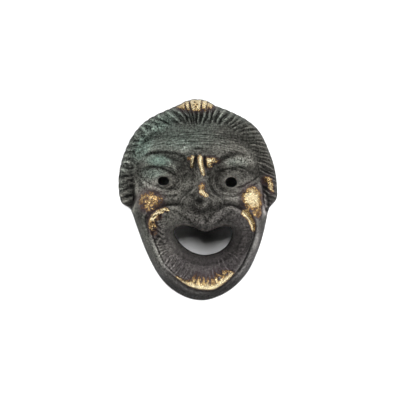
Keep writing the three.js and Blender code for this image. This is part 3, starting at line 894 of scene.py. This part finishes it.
# Beyond its edge each field falls off at this rate.
RUB_FALL = 2.6
# How deep the tip of the beard is rubbed, by the angle from its lowest point
TIP_RUB_DEPTH = [(-36, 0.9), (-25, 1.6), (-20, 3), (-17, 5.8), (0, 7.2), (26, 6.0), (35, 3.2), (42, 1)]
# Two small curls in the tip of the beard, with their radii
TIP_LOOPS = [(11.6, -42.4, 1.7), (15.6, -40.2, 1.4)]


def rubbed_tip(place):
    """The rubbed tip of the beard, parted into tufts, and the two curls in it."""
    x, y, in_beard, angle = place.x, place.y, place.in_beard, place.beard_angle
    tufts = angle / 5.6 + 0.2 * mottle(x, y, 3.0, 41)
    tuft = np.floor(tufts)
    depth = np.interp(angle, *zip(*TIP_RUB_DEPTH)) * (0.9 + 0.3 * chance(tuft, 42))
    on_tip = ease(-39, -35, angle) * ease(47, 34, angle) * (y < -30)
    start = 1.4 + 2.2 * chance(tuft, 43)
    partings = (0.6 + chance(tuft, 44)) * (1 - lobe(tufts)) ** 1.5 * ease(start, start + 1, in_beard)
    partings = partings * ease(-26, -20, angle)
    tip = np.minimum(1 - in_beard / depth, 1.5 * in_beard) - partings - 3 * (1 - on_tip)
    loops = np.full(x.shape, -9.0)
    for loop_x, loop_y, radius in TIP_LOOPS:
        out = np.hypot(x - loop_x, y - loop_y)
        loops = np.maximum(loops, 1 - np.abs(out - radius) / 0.8)
        tip = tip - 1.6 * ease(radius - 0.2, radius - 0.9, out)
    return tip, loops


def rubbed(place, z):
    """How far each place has been rubbed bright: over 0 where the bronze shows through."""
    x, y = place.x, place.y
    tip, loops = rubbed_tip(place)
    fields = [(strength, oval(x, y, *shape)) for strength, *shape in RUBBED_OVALS]
    fields += [(strength, band(x, y, *shape)) for strength, *shape in RUBBED_BANDS]
    fields += [(1.2, tip), (0.65, loops)]
    reached = [np.where(shape > 0, strength, RUB_FALL) * shape for strength, shape in fields]
    most = np.minimum(np.maximum.reduce(reached), 1)
    return np.clip(most + 1.5 * total(crown_slits, x, y) - 2 * ease(8.5, 4.5, z), -2, 1)


def on_lips(place):
    """1 on the smooth band round the lower lip."""
    return ease(5.5, 4.8, place.from_mouth) * ease(-13, -18, place.y)


# Patches of tone, painted shade and painted light, by their strength, centre, radii and turn. The first
# three lists darken.
HAIR_PATCHES = [(0.1, (-26, 38), (16, 8), 40), (-0.1, (0, 45), (16, 9))]
# Painted shade round the tip of the nose, on its left and under it.
NOSE_SHADE_PATCHES = [
    (0.6, (1.9, -1.5), (5.2, 4.8)),
    (0.45, (-0.6, 1.0), (4.2, 4)),
    (0.2, (1.0, -0.6), (3.6, 2.6)),
]
TEMPLE_PATCHES = [(0.22, (-20, 31), (13, 6), 15), (0.22, (20, 30.5), (13, 5.5), -15)]
# Mostly painted light: lighter patches in shaded sockets and grooves and painted highlights on rims, with
# a few that darken.
PAINTED_LIGHT_PATCHES = [
    # painted light in the brows and the shaded sockets
    (0.5, (-24.5, 28.4), (7, 2.6), 10),
    (0.45, (-5.6, 27.2), (5, 4)),
    (0.1, (-20, 20), (13, 8)),
    (0.25, (-20, 17.6), (11, 3.6)),
    (0.5, (-31.5, 16.5), (5, 8)),
    (0.6, (-29.2, 17.6), (6, 4.6)),
    (0.6, (-34, 10.4), (2.4, 4.6)),
    (0.6, (23, 23.8), (3.6, 3)),
    (0.3, (25, 21), (11, 8)),
    (-0.3, (23.6, 13), (5, 4)),
    # the bridge and the tip of the nose, with a painted highlight on the tip
    (1.1, (-7.5, 17), (8, 7.5), -20),
    (0.3, (12, 19), (7, 7)),
    (0.6, (-4.6, 9.6), (4.6, 4.4)),
    (0.6, (-3.2, 8.2), (2.4, 6)),
    (-0.35, (1.2, 9.6), (2.6, 5)),
    (2.2, (3.7, -2.5), (1.3, 1.2)),
    # under the eyes
    (0.5, (-18, 7), (16, 8)),
    (0.55, (21, 4), (13, 7)),
    (0.8, (21.6, 1.2), (4.6, 5)),
    # painted light along the edge of the right cheek, and on the wall under it
    (0.8, (34.9, 0.4), (1.4, 4.6), 4),
    (1.5, (36.2, -0.6), (1.9, 6.5), 8),
    (1.6, (36.2, -5.2), (1.8, 7), -8),
    (0.9, (31.7, -22.6), (1.9, 7), -14),
    # the moustache, the lips and the beard
    (-0.3, (-8, -6.8), (3, 3)),
    (-0.45, (4.2, -15), (9, 3.2)),
    (0.5, (-15, -25.4), (3.6, 5), 30),
    (0.5, (-14.5, -27), (9, 14), 30),
    (0.15, (2, -39), (20, 9)),
]


def patina_tone_with_painted_light(place):
    """How light the patina is, with painted shade and painted light worked in: darker in the hair, on the
    outer walls, on the nose and on the lips; the walls, the chin, the lip band and the rims of the beard
    on the right carry painted shade, and the sockets, the right wall and the left rim of the beard painted
    light and highlights.
    """
    x, y, in_hair, in_beard = place.x, place.y, place.in_hair, place.in_beard
    on_side = ease(-1, -2, in_hair)
    right_edge = ease(8, 16, x) * ease(-46, -38, y) * ease(-8, -14, y)
    upper_edge = right_edge * ease(-32, -25, y) * ease(-13, -17, y)
    right_highlight_streak = 0.9 * swell(in_beard + 1.7, 1.5) * ease(-12, -17, y)
    groove_light = (0.35 + 0.8 * ease(-20, -15, y)) * swell(in_beard + 0.5, 0.6)
    left_edge = ease(-17, -22, y) * ease(-41, -36, y) * ease(0, -8, x)
    # Painted shade: on the walls and the chin, round the tip of the nose, on the lip band and on the
    # beard's right rims.
    darker = {
        "hair": (0.54 + 0.1 * ease(10, 30, x) + patches(x, y, HAIR_PATCHES)) * ease(-1, 2, in_hair),
        "chin": 0.6 * ease(6, 2, place.depth) * on_side * ease(-38, -47, y),
        "wall": 0.6 * ease(6, 3, place.depth) * on_side,
        "left_wall": 0.55 * patch(x, y, (-30.3, -7.2), (3.6, 9.5), -12),
        "nose": 0.3 * ease(1.05, 0.85, across_nose(x, y)) * ease(10, 6, y) * ease(-10, -6, y),
        "nostrils": np.minimum(patches(x, y, NOSE_SHADE_PATCHES), 0.9),
        "temples": patches(x, y, TEMPLE_PATCHES),
        "moustache": 0.2 * patch(x, y, (2.5, -9), (26, 8)),
        "lips": 0.36 * on_lips(place),
        "right_beard": 0.22 * ease(0, 2, in_beard) * ease(8, 20, x),
        "right_rim": 0.42 * swell(in_beard - 1.2, 1.7) * right_edge,
        "top_rim": 0.72 * swell(in_beard - 0.8, 1.3) * upper_edge,
    }
    # Painted light: a highlight streak and light in the shaded groove on the right wall, a highlight on
    # the left rim of the beard, and the light patches.
    lighter = {
        "right_wall": (right_highlight_streak + groove_light) * right_edge,
        "left_rim": 1.05 * swell(in_beard + 0.2, 0.7) * left_edge,
        "patches": patches(x, y, PAINTED_LIGHT_PATCHES),
    }
    tone_light_and_shade = np.ones(x.shape)
    for strength in darker.values():
        tone_light_and_shade = tone_light_and_shade * (1 - strength)
    for strength in lighter.values():
        tone_light_and_shade = tone_light_and_shade * (1 + strength)
    return tone_light_and_shade


hair_line_strength = profile([(-120, 1.5), (-50, 1.1), (-20, 1), (20, 1), (45, 0.8), (120, 0.8)])


def tool_lines(place):
    """Fine lines cut into the wax: how many lie before each place, and how strong they are there."""
    x, y, in_hair, in_beard, outward = place.x, place.y, place.in_hair, place.in_beard, place.outward
    angle, around = place.angle, place.beard_angle
    hair = lock_place(angle, place.along_hair) + 0.5 + 0.12 * mottle(x, y, 3.0, 31)
    inner_hair = ease(-45, -60, angle) * ease(0.5, 0.25, place.along_hair)
    in_locks = ease(-0.4, 0.8, in_hair) * (1 - 0.75 * inner_hair)
    furrows = beard_count(place) * 2
    fine_strands = beard_count(place) * 5
    outside_lips = ease(0, 0.6, in_beard) * ease(-6, -13, y)
    long_strands = around / 7 + 0.35 * mottle(x, y, 4.0, 32)
    lower_part = ease(0.2, 0.35, outward) * ease(1.0, 0.9, outward) * outside_lips
    lower_part = lower_part * ease(-0.7, 0.1, mottle(x, y, 4.0, 35))
    lower_part = lower_part * ease(6, 13, around) * ease(62, 50, around)
    right_strands = around / 5 + 0.5 * mottle(x, y, 3.0, 33)
    right_part = ease(0.35, 0.6, outward) * ease(-0.6, 0.3, mottle(x, y, 5.0, 34))
    right_part = right_part * ease(0, 0.6, in_beard) * ease(52, 60, around) * ease(112, 98, around)
    rows = forehead_row(x, y) / 1.35 + 0.7 * mottle(x * 0.3, y * 0.7, 2.6, 22)
    kinds = [
        (hair, hair_line_strength(angle) * in_locks),
        (furrows, 0.62 * outside_lips * ease(2, -5, x) * ease(6, 4, in_beard)),
        (fine_strands, (0.45 - 0.25 * ease(2, 10, x)) * outside_lips * ease(0.3, 0.45, outward)),
        (long_strands, 1.05 * lower_part),
        (right_strands, 0.45 * right_part),
        (rows, 0.28 * ease(23, 28, y) * ease(40, 37, y) * ease(0, -2, in_hair)),
    ]
    for eye in EYES:
        out = from_eye(x, y, eye)
        turns = out / 1.3 + 0.7 * mottle(x, y, 3.2, 21)
        kinds.append((turns, 0.3 * ease(4, 7, out) * ease(15, 10, out) * ease(25, 22, y)))
    counts, strengths = (np.array(values) for values in zip(*kinds))
    strongest = strengths.argmax(0)
    return np.take_along_axis(counts, strongest[None], 0)[0], strengths.max(0)


# The green over the left eye
GREEN_LID = ((-21.5, 21.2), (9.5, 4.8), -4)


def verdigris(place):
    """Where green has settled: on the upper left, with a trace on the walls."""
    x, y = place.x, place.y
    return np.maximum.reduce([
        0.08 * ease(8, 4, place.depth) * ease(0, -2, place.in_hair),
        patch(x, y, *GREEN_LID),
        0.7 * patch(x, y, (-30, 29), (7, 13), -30),
        0.5 * patch(x, y, (-21, 40), (17, 7), 30),
        0.4 * patch(x, y, (-24, 14.5), (10, 4.5)),
        0.18 * patch(x, y, (21, 20), (9, 4.5)),
        0.25 * patch(x, y, (-10, 33), (26, 9)),
    ])


# Where the grain's specks and painted glints show most: in the moustache, on the right brow and in the
# hair to the upper left
SPECK_PATCHES = [
    (0.45, (2.5, -8), (24, 8)),
    (0.7, (26, 20.5), (6, 5)),
    (0.6, (-26, 38), (17, 9), 38),
]


def speck_strength(place):
    """How strongly the grain's specks show light and dark, the light ones partly painted glints. It is
    strongest to the upper left.
    """
    x, y = place.x, place.y
    strength = 0.55 + 0.4 * ease(-50, 15, y - 0.9 * x) + patches(x, y, SPECK_PATCHES)
    forehead = ease(24, 28, y) * ease(0, -2, place.in_hair)
    smooth_green = 1 - 0.5 * patch(x, y, *GREEN_LID)
    return strength * (1 - 0.5 * on_lips(place)) * (1 - 0.25 * forehead) * smooth_green


def add_surface_fields(piece):
    """Stores what the surface shows at each point of the mesh, for the materials to read."""
    columns = np.arange(-RASTER_HALF[0], RASTER_HALF[0] + RASTER, RASTER)
    rows = np.arange(-RASTER_HALF[1], RASTER_HALF[1] + RASTER, RASTER)
    grid_x, grid_y = np.meshgrid(columns, rows)
    relief = np.maximum(front(grid_x.ravel(), grid_y.ravel()), 0).reshape(grid_x.shape)
    in_locks = ease(0, 2, -depth_in(hairline, grid_x.ravel(), grid_y.ravel())).reshape(grid_x.shape)
    # crest and rise steer painted highlight on proud places and painted shade in hollows in the patina;
    # crest also steers the rubbing.
    crest = (relief - blurred(relief, CREST_BLUR)) / (0.4 - 0.1 * in_locks)
    rise = (relief - blurred(relief, RISE_BLUR)) / 2.5
    places = vertex_places(piece.data) / MM
    x, y = places[:, 0], places[:, 1]
    place = locate(x, y)
    line_count, line_strength = tool_lines(place)
    fields = {
        "line_count": line_count,
        "line_strength": line_strength,
        "crest": np.clip(sampled(crest, x, y), -1, 1),
        "rise": np.clip(sampled(rise, x, y), -1, 1),
        "rubbed": rubbed(place, places[:, 2]),
        "tone_light_and_shade": patina_tone_with_painted_light(place),
        "specks": speck_strength(place),
        "verdigris": verdigris(place),
    }
    for name, values in fields.items():
        field = piece.data.attributes.new(name, "FLOAT", "POINT")
        field.data.foreach_set("value", values.astype(np.float32))


# Materials

UMBER_PATINA = (0.058, 0.052, 0.052, 1)
GREY_PATINA = (0.068, 0.066, 0.058, 1)
GREEN_PATINA = (0.070, 0.078, 0.068, 1)
VERDIGRIS = (0.112, 0.155, 0.130, 1)
RUB_STAIN = (0.045, 0.030, 0.033, 1)
PIT_BROWN = (0.06, 0.03, 0.018, 1)
# From patina that is barely rubbed through to bare bronze
RUBBED_BRONZE = [
    (0.0, (0.045, 0.028, 0.030)),
    (0.10, (0.090, 0.045, 0.030)),
    (0.22, (0.30, 0.18, 0.07)),
    (0.38, (0.42, 0.30, 0.14)),
    (0.62, (0.53, 0.43, 0.25)),
    (1.0, (0.60, 0.52, 0.34)),
]
BARE_ROUGHNESS = 0.24
DULL_SHEEN = (0.25, 0.25, 0.25, 1)
BACK_FACING = -0.02


def new_group(name, inputs, outputs):
    """A node group, with what it is given and what it puts out."""
    group = bpy.data.node_groups.new(name, "ShaderNodeTree")
    for socket_name, socket_type, value in inputs:
        socket = group.interface.new_socket(socket_name, in_out="INPUT", socket_type=socket_type)
        if value is not None:
            socket.default_value = value
    for socket_name, socket_type in outputs:
        group.interface.new_socket(socket_name, in_out="OUTPUT", socket_type=socket_type)
    enter, leave = group.nodes.new("NodeGroupInput"), group.nodes.new("NodeGroupOutput")
    return group, enter.outputs, leave.inputs


def connect(tree, source, target):
    """Links a socket to an input, or sets the input where the source is a plain value."""
    if isinstance(source, bpy.types.NodeSocket):
        tree.links.new(source, target)
    else:
        target.default_value = source


def noise(tree, vector, size, detail, roughness):
    """Noise with blotches of a given size in millimetres."""
    node = tree.nodes.new("ShaderNodeTexNoise")
    node.inputs["Scale"].default_value = 1 / (size * MM)
    node.inputs["Detail"].default_value = detail
    node.inputs["Roughness"].default_value = roughness
    tree.links.new(vector, node.inputs["Vector"])
    return node.outputs["Fac"]


def arithmetic(tree, operation, first, second=0.0, third=0.0):
    node = tree.nodes.new("ShaderNodeMath")
    node.operation = operation
    for source, target in zip((first, second, third), node.inputs):
        connect(tree, source, target)
    return node.outputs[0]


def graded(tree, value, low, high, out_low=0.0, out_high=1.0, soft=True):
    """Turns one range of values into another, and holds its ends beyond it."""
    node = tree.nodes.new("ShaderNodeMapRange")
    node.interpolation_type = "SMOOTHSTEP" if soft else "LINEAR"
    connect(tree, value, node.inputs["Value"])
    node.inputs["From Min"].default_value = low
    node.inputs["From Max"].default_value = high
    node.inputs["To Min"].default_value = out_low
    node.inputs["To Max"].default_value = out_high
    return node.outputs["Result"]


# Where a mix node has its two inputs and its output for numbers and for colours
MIX_SOCKETS = {"FLOAT": (2, 3, 0), "RGBA": (6, 7, 2)}


def mixed(tree, factor, first, second, kind="RGBA", blend_type="MIX"):
    node = tree.nodes.new("ShaderNodeMix")
    node.data_type = kind
    node.blend_type = blend_type
    first_input, second_input, output = MIX_SOCKETS[kind]
    connect(tree, factor, node.inputs["Factor"])
    connect(tree, first, node.inputs[first_input])
    connect(tree, second, node.inputs[second_input])
    return node.outputs[output]


def ramp(tree, value, stops):
    node = tree.nodes.new("ShaderNodeValToRGB")
    elements = node.color_ramp.elements
    while len(elements) < len(stops):
        elements.new(0.5)
    for element, (position, colour) in zip(elements, stops):
        element.position = position
        element.color = (*colour, 1)
    tree.links.new(value, node.inputs["Fac"])
    return node.outputs["Color"]


def attribute(tree, name):
    """One of the values that are stored at each point of the mesh."""
    node = tree.nodes.new("ShaderNodeAttribute")
    node.attribute_name = name
    return node.outputs["Fac"]


def make_grain_group():
    """The granular skin of a sand casting: its height, and light and dark specks, the light ones partly
    painted glints.
    """
    group, given, result = new_group(
        "cast_grain",
        [("Vector", "NodeSocketVector", None)],
        [("Height", "NodeSocketFloat"), ("Speck", "NodeSocketFloat")],
    )
    vector = given["Vector"]
    coarse = noise(group, vector, 1.1, detail=3.0, roughness=0.6)
    fine = noise(group, vector, 0.42, detail=2.0, roughness=0.6)
    height = arithmetic(group, "MULTIPLY_ADD", coarse, 0.6, arithmetic(group, "MULTIPLY", fine, 0.55))
    speck = noise(group, vector, 1.0, detail=3.0, roughness=0.7)
    connect(group, height, result["Height"])
    connect(group, graded(group, speck, 0.38, 0.64, 0, 1, soft=False), result["Speck"])
    return group


def make_lines_group():
    """Fine tool lines: bright crests and dark cuts, and their height."""
    group, given, result = new_group(
        "tool_lines",
        [
            ("Vector", "NodeSocketVector", None),
            ("Count", "NodeSocketFloat", 0.0),
            ("Strength", "NodeSocketFloat", 0.0),
        ],
        [("Shade", "NodeSocketFloat"), ("Height", "NodeSocketFloat")],
    )
    waver = noise(group, given["Vector"], 3.0, detail=2.0, roughness=0.6)
    turns = arithmetic(group, "MULTIPLY_ADD", waver, 0.5, given["Count"])
    wave = arithmetic(group, "COSINE", arithmetic(group, "MULTIPLY", turns, 2 * math.pi))
    crests = graded(group, wave, 0.5, 1.0, 0.0, 1.9)
    cuts = graded(group, wave, 0.1, -0.9, 0.0, -0.55)
    breaks = graded(group, noise(group, given["Vector"], 2.2, detail=2.0, roughness=0.6), 0.34, 0.58)
    effect = arithmetic(group, "MULTIPLY", given["Strength"], breaks)
    shade = arithmetic(group, "MULTIPLY_ADD", arithmetic(group, "ADD", crests, cuts), effect, 1.0)
    connect(group, shade, result["Shade"])
    connect(group, arithmetic(group, "MULTIPLY", wave, effect), result["Height"])
    return group


def make_patina_group():
    """The dark patina: verdigris to the upper left, umber to the lower right, darker in the hollows,
    partly as patina and partly as painted shade, and lighter on the crests as wear and painted highlight.
    """
    group, given, result = new_group(
        "patina",
        [
            ("Vector", "NodeSocketVector", None),
            ("Speck", "NodeSocketFloat", 0.5),
            ("Specks", "NodeSocketFloat", 0.7),
            ("Crest", "NodeSocketFloat", 0.0),
            ("Rise", "NodeSocketFloat", 0.0),
            ("Tone", "NodeSocketFloat", 1.0),
            ("Lines", "NodeSocketFloat", 1.0),
            ("Verdigris", "NodeSocketFloat", 0.0),
        ],
        [("Color", "NodeSocketColor"), ("Roughness", "NodeSocketFloat")],
    )
    vector = given["Vector"]
    parts = group.nodes.new("ShaderNodeSeparateXYZ")
    group.links.new(vector, parts.inputs[0])
    slope = arithmetic(group, "MULTIPLY", parts.outputs["X"], 0.5)
    slant = arithmetic(group, "SUBTRACT", parts.outputs["Y"], slope)
    blotch = noise(group, vector, 9.0, detail=4.0, roughness=0.6)
    small = noise(group, vector, 2.2, detail=3.0, roughness=0.6)
    side = arithmetic(group, "MULTIPLY_ADD", arithmetic(group, "SUBTRACT", blotch, 0.5), 0.05, slant)
    warm = mixed(group, graded(group, side, -0.05, 0.012), UMBER_PATINA, GREY_PATINA)
    base = mixed(group, graded(group, side, 0.01, 0.06), warm, GREEN_PATINA)
    clotted = graded(group, small, 0.3, 0.7, 0.55, 1.0)
    green = arithmetic(group, "MULTIPLY", given["Verdigris"], clotted)
    settled = mixed(group, green, base, VERDIGRIS)
    # Painted shade in the hollows and painted highlight on crests and rises, partly standing for patina in
    # the hollows and wear on the crests.
    crest_wear_and_shade = graded(group, given["Crest"], -0.8, 0.9, 0.45, 1.7, soft=False)
    rise_and_hollow_shade = graded(group, given["Rise"], -0.8, 0.8, 0.75, 1.2, soft=False)
    # Light specks of the grain brighten the colour: partly grain, partly painted glints.
    speck_and_glint = graded(group, given["Speck"], 0, 1, -0.65, 1.2, soft=False)
    specked = arithmetic(group, "MULTIPLY_ADD", speck_and_glint, given["Specks"], 1.0)
    shade = crest_wear_and_shade
    for part in (rise_and_hollow_shade, specked, given["Tone"], given["Lines"]):
        shade = arithmetic(group, "MULTIPLY", shade, part)
    grey = group.nodes.new("ShaderNodeCombineColor")
    for socket in grey.inputs[:3]:
        group.links.new(shade, socket)
    colour = mixed(group, 1.0, settled, grey.outputs[0], blend_type="MULTIPLY")
    connect(group, colour, result["Color"])
    connect(group, graded(group, small, 0.3, 0.7, 0.42, 0.62, soft=False), result["Roughness"])
    return group


def make_rub_group():
    """Where the patina is rubbed off: ragged, on the proud grain first, and mottled where it is bright."""
    group, given, result = new_group(
        "rubbed_through",
        [
            ("Vector", "NodeSocketVector", None),
            ("Rubbed", "NodeSocketFloat", -1.0),
            ("Crest", "NodeSocketFloat", 0.0),
            ("Lines", "NodeSocketFloat", 0.0),
        ],
        [("Bright", "NodeSocketFloat"), ("Halo", "NodeSocketFloat"), ("Mottle", "NodeSocketFloat")],
    )
    vector = given["Vector"]
    ragged = arithmetic(group, "SUBTRACT", noise(group, vector, 1.8, detail=3.0, roughness=0.7), 0.5)
    fine = arithmetic(group, "SUBTRACT", noise(group, vector, 0.9, detail=2.0, roughness=0.6), 0.5)
    worn = given["Rubbed"]
    effects = ((ragged, 1.6), (fine, 1.4), (given["Crest"], 0.3), (given["Lines"], 0.35))
    for effect, strength in effects:
        worn = arithmetic(group, "MULTIPLY_ADD", effect, strength, worn)
    connect(group, graded(group, worn, 0.0, 1.3, 0, 1, soft=False), result["Bright"])
    connect(group, graded(group, given["Rubbed"], -1.9, 0.1), result["Halo"])
    cloud = graded(group, noise(group, vector, 2.6, detail=3.0, roughness=0.6), 0.38, 0.6, 0.4, 1.15)
    pits = graded(group, noise(group, vector, 0.8, detail=1.0, roughness=0.5), 0.3, 0.44, 0.25, 1.0)
    mottled = arithmetic(group, "MULTIPLY", cloud, pits)
    smooth = graded(group, given["Rubbed"], 0.5, 1.0, 0.0, 0.85)
    connect(group, arithmetic(group, "MAXIMUM", mottled, smooth), result["Mottle"])
    return group


def place_group(tree, group, **sources):
    node = tree.nodes.new("ShaderNodeGroup")
    node.node_tree = group
    for name, source in sources.items():
        connect(tree, source, node.inputs[name])
    return node


def new_material(name):
    material = bpy.data.materials.new(name)
    material.use_nodes = True
    tree = material.node_tree
    tree.nodes.clear()
    shader = tree.nodes.new("ShaderNodeBsdfPrincipled")
    output = tree.nodes.new("ShaderNodeOutputMaterial")
    tree.links.new(shader.outputs[0], output.inputs["Surface"])
    place = tree.nodes.new("ShaderNodeTexCoord").outputs["Object"]
    return material, tree, shader, place


def bump(tree, shader, height, depth, strength):
    node = tree.nodes.new("ShaderNodeBump")
    node.inputs["Strength"].default_value = strength
    node.inputs["Distance"].default_value = depth * MM
    tree.links.new(height, node.inputs["Height"])
    tree.links.new(node.outputs[0], shader.inputs["Normal"])


def bronze_face_material(grain_group, patina_group, rub_group, lines_group):
    material, tree, shader, place = new_material("bronze_face")
    crest = attribute(tree, "crest")
    grain = place_group(tree, grain_group, Vector=place)
    lines = place_group(
        tree, lines_group, Vector=place, Count=attribute(tree, "line_count"),
        Strength=attribute(tree, "line_strength"),
    )
    patina = place_group(
        tree, patina_group, Vector=place, Speck=grain.outputs["Speck"], Crest=crest,
        Rise=attribute(tree, "rise"), Tone=attribute(tree, "tone_light_and_shade"), Specks=attribute(tree, "specks"),
        Verdigris=attribute(tree, "verdigris"), Lines=lines.outputs["Shade"],
    )
    rub = place_group(
        tree, rub_group, Vector=place, Rubbed=attribute(tree, "rubbed"), Crest=crest,
        Lines=lines.outputs["Height"],
    )
    bright = rub.outputs["Bright"]
    metal = mixed(tree, rub.outputs["Mottle"], PIT_BROWN, ramp(tree, bright, RUBBED_BRONZE))
    shows = graded(tree, bright, 0.0, 0.14)
    halo = arithmetic(tree, "MULTIPLY", rub.outputs["Halo"], 0.75)
    stained = mixed(tree, halo, patina.outputs["Color"], RUB_STAIN)
    colour = mixed(tree, shows, stained, metal)
    tree.links.new(colour, shader.inputs["Base Color"])
    tree.links.new(graded(tree, bright, 0.02, 0.3, 0.85, 1.0), shader.inputs["Metallic"])
    shader.inputs["Specular Tint"].default_value = DULL_SHEEN
    roughness = mixed(tree, shows, patina.outputs["Roughness"], BARE_ROUGHNESS, kind="FLOAT")
    tree.links.new(roughness, shader.inputs["Roughness"])
    relief = arithmetic(tree, "MULTIPLY_ADD", lines.outputs["Height"], 0.12, grain.outputs["Height"])
    bump(tree, shader, relief, depth=1.4, strength=1.0)
    return material


def bronze_back_material(grain_group, patina_group):
    material, tree, shader, place = new_material("bronze_back")
    grain = place_group(tree, grain_group, Vector=place)
    speck = grain.outputs["Speck"]
    # The back takes the crest and rise of a shallow hollow, which paints a little shade over it.
    patina = place_group(tree, patina_group, Vector=place, Speck=speck, Crest=-0.2, Rise=-0.2)
    tree.links.new(patina.outputs["Color"], shader.inputs["Base Color"])
    shader.inputs["Metallic"].default_value = 0.5
    shader.inputs["Roughness"].default_value = 0.65
    bump(tree, shader, grain.outputs["Height"], depth=0.5, strength=0.9)
    return material


def paint_mask(piece):
    """Gives the faces that look up the worn patina, and those of the hollow and the rim a plain one."""
    grain, patina = make_grain_group(), make_patina_group()
    piece.data.materials.clear()
    piece.data.materials.append(bronze_face_material(grain, patina, make_rub_group(), make_lines_group()))
    piece.data.materials.append(bronze_back_material(grain, patina))
    normals = np.empty(len(piece.data.polygons) * 3)
    piece.data.polygons.foreach_get("normal", normals)
    facing_back = normals.reshape(-1, 3)[:, 2] < BACK_FACING
    piece.data.polygons.foreach_set("material_index", facing_back.astype(np.int32))
    piece.data.update()


SMOOTH_UP_TO = math.radians(50)
mask = cast_mask()
add_surface_fields(mask)
paint_mask(mask)
deselect()
mask.select_set(True)
bpy.context.view_layer.objects.active = mask
bpy.ops.object.shade_smooth_by_angle(angle=SMOOTH_UP_TO)
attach(mask, "root")
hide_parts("mask")


# The plain pale floor, the soft lights and the camera

FLOOR_SIZE = 4.0
FLOOR_GAP = 0.0001
FLOOR_COLOUR = (0.94, 0.94, 0.94, 1)
deselect()
bpy.ops.mesh.primitive_plane_add(size=FLOOR_SIZE, location=(0, 0, -FLOOR_GAP))
floor = bpy.context.object
floor.name = "floor"
floor_material, _, floor_shader, _ = new_material("pale_floor")
floor_shader.inputs["Base Color"].default_value = FLOOR_COLOUR
floor_shader.inputs["Roughness"].default_value = 0.8
floor.data.materials.append(floor_material)

# The world is white walls, brighter at their foot and on the crown's side, under a dark ceiling.
world = bpy.data.worlds.new("studio")
world.use_nodes = True
world_tree = world.node_tree
background = world_tree.nodes["Background"]
background.inputs["Color"].default_value = (1, 1, 1, 1)
direction = world_tree.nodes.new("ShaderNodeTexCoord").outputs["Generated"]
direction_parts = world_tree.nodes.new("ShaderNodeSeparateXYZ")
world_tree.links.new(direction, direction_parts.inputs[0])
walls = graded(world_tree, direction_parts.outputs["Z"], 0.5, 0.78, 2.2, 0.015)
crown_side = graded(world_tree, direction_parts.outputs["Y"], -0.8, 0.2, 0.03, 1.0)
foot = graded(world_tree, direction_parts.outputs["Z"], 0.2, 0.36, 4.0, 0.0)
glow = arithmetic(world_tree, "MULTIPLY_ADD", walls, crown_side, foot)
world_tree.links.new(glow, background.inputs["Strength"])
bpy.context.scene.world = world
bpy.context.scene.view_settings.view_transform = "Standard"


def soft_light(name, place, size, power):
    data = bpy.data.lights.new(name, "AREA")
    data.shape = "SQUARE"
    data.size = size
    data.energy = power
    light = bpy.data.objects.new(name, data)
    light.location = place
    light.rotation_euler = (-Vector(place)).to_track_quat("-Z", "Y").to_euler()
    bpy.context.scene.collection.objects.link(light)
    return light


soft_light("crown_light", (-0.08, 0.54, 1.02), 0.5, 9)
soft_light("side_light", (0.95, -0.3, 0.4), 0.4, 4)
# This one lights only the floor, which is white right up to the chin.
floor_light = soft_light("floor_light", (0, -1.3, 0.3), 0.3, 42)
lit_pieces = bpy.data.collections.new("lit_by_floor_light")
lit_pieces.objects.link(floor)
floor_light.light_linking.receiver_collection = lit_pieces

# The camera looks straight down on the mask. One pixel of the photograph is 0.547 mm.
PIXEL = 0.547 * MM
IMAGE_PIXELS = 400
MASK_PIXEL = (197.9, 199.75)
CAMERA_HEIGHT = 1.6
camera_data = bpy.data.cameras.new("camera")
camera_data.sensor_width = 36
camera_data.lens = camera_data.sensor_width * CAMERA_HEIGHT / (IMAGE_PIXELS * PIXEL)
camera_data.clip_end = 20
camera = bpy.data.objects.new("camera", camera_data)
camera.location = (
    (IMAGE_PIXELS / 2 - MASK_PIXEL[0]) * PIXEL,
    (MASK_PIXEL[1] - IMAGE_PIXELS / 2) * PIXEL,
    CAMERA_HEIGHT,
)
bpy.context.scene.collection.objects.link(camera)
bpy.context.scene.camera = camera
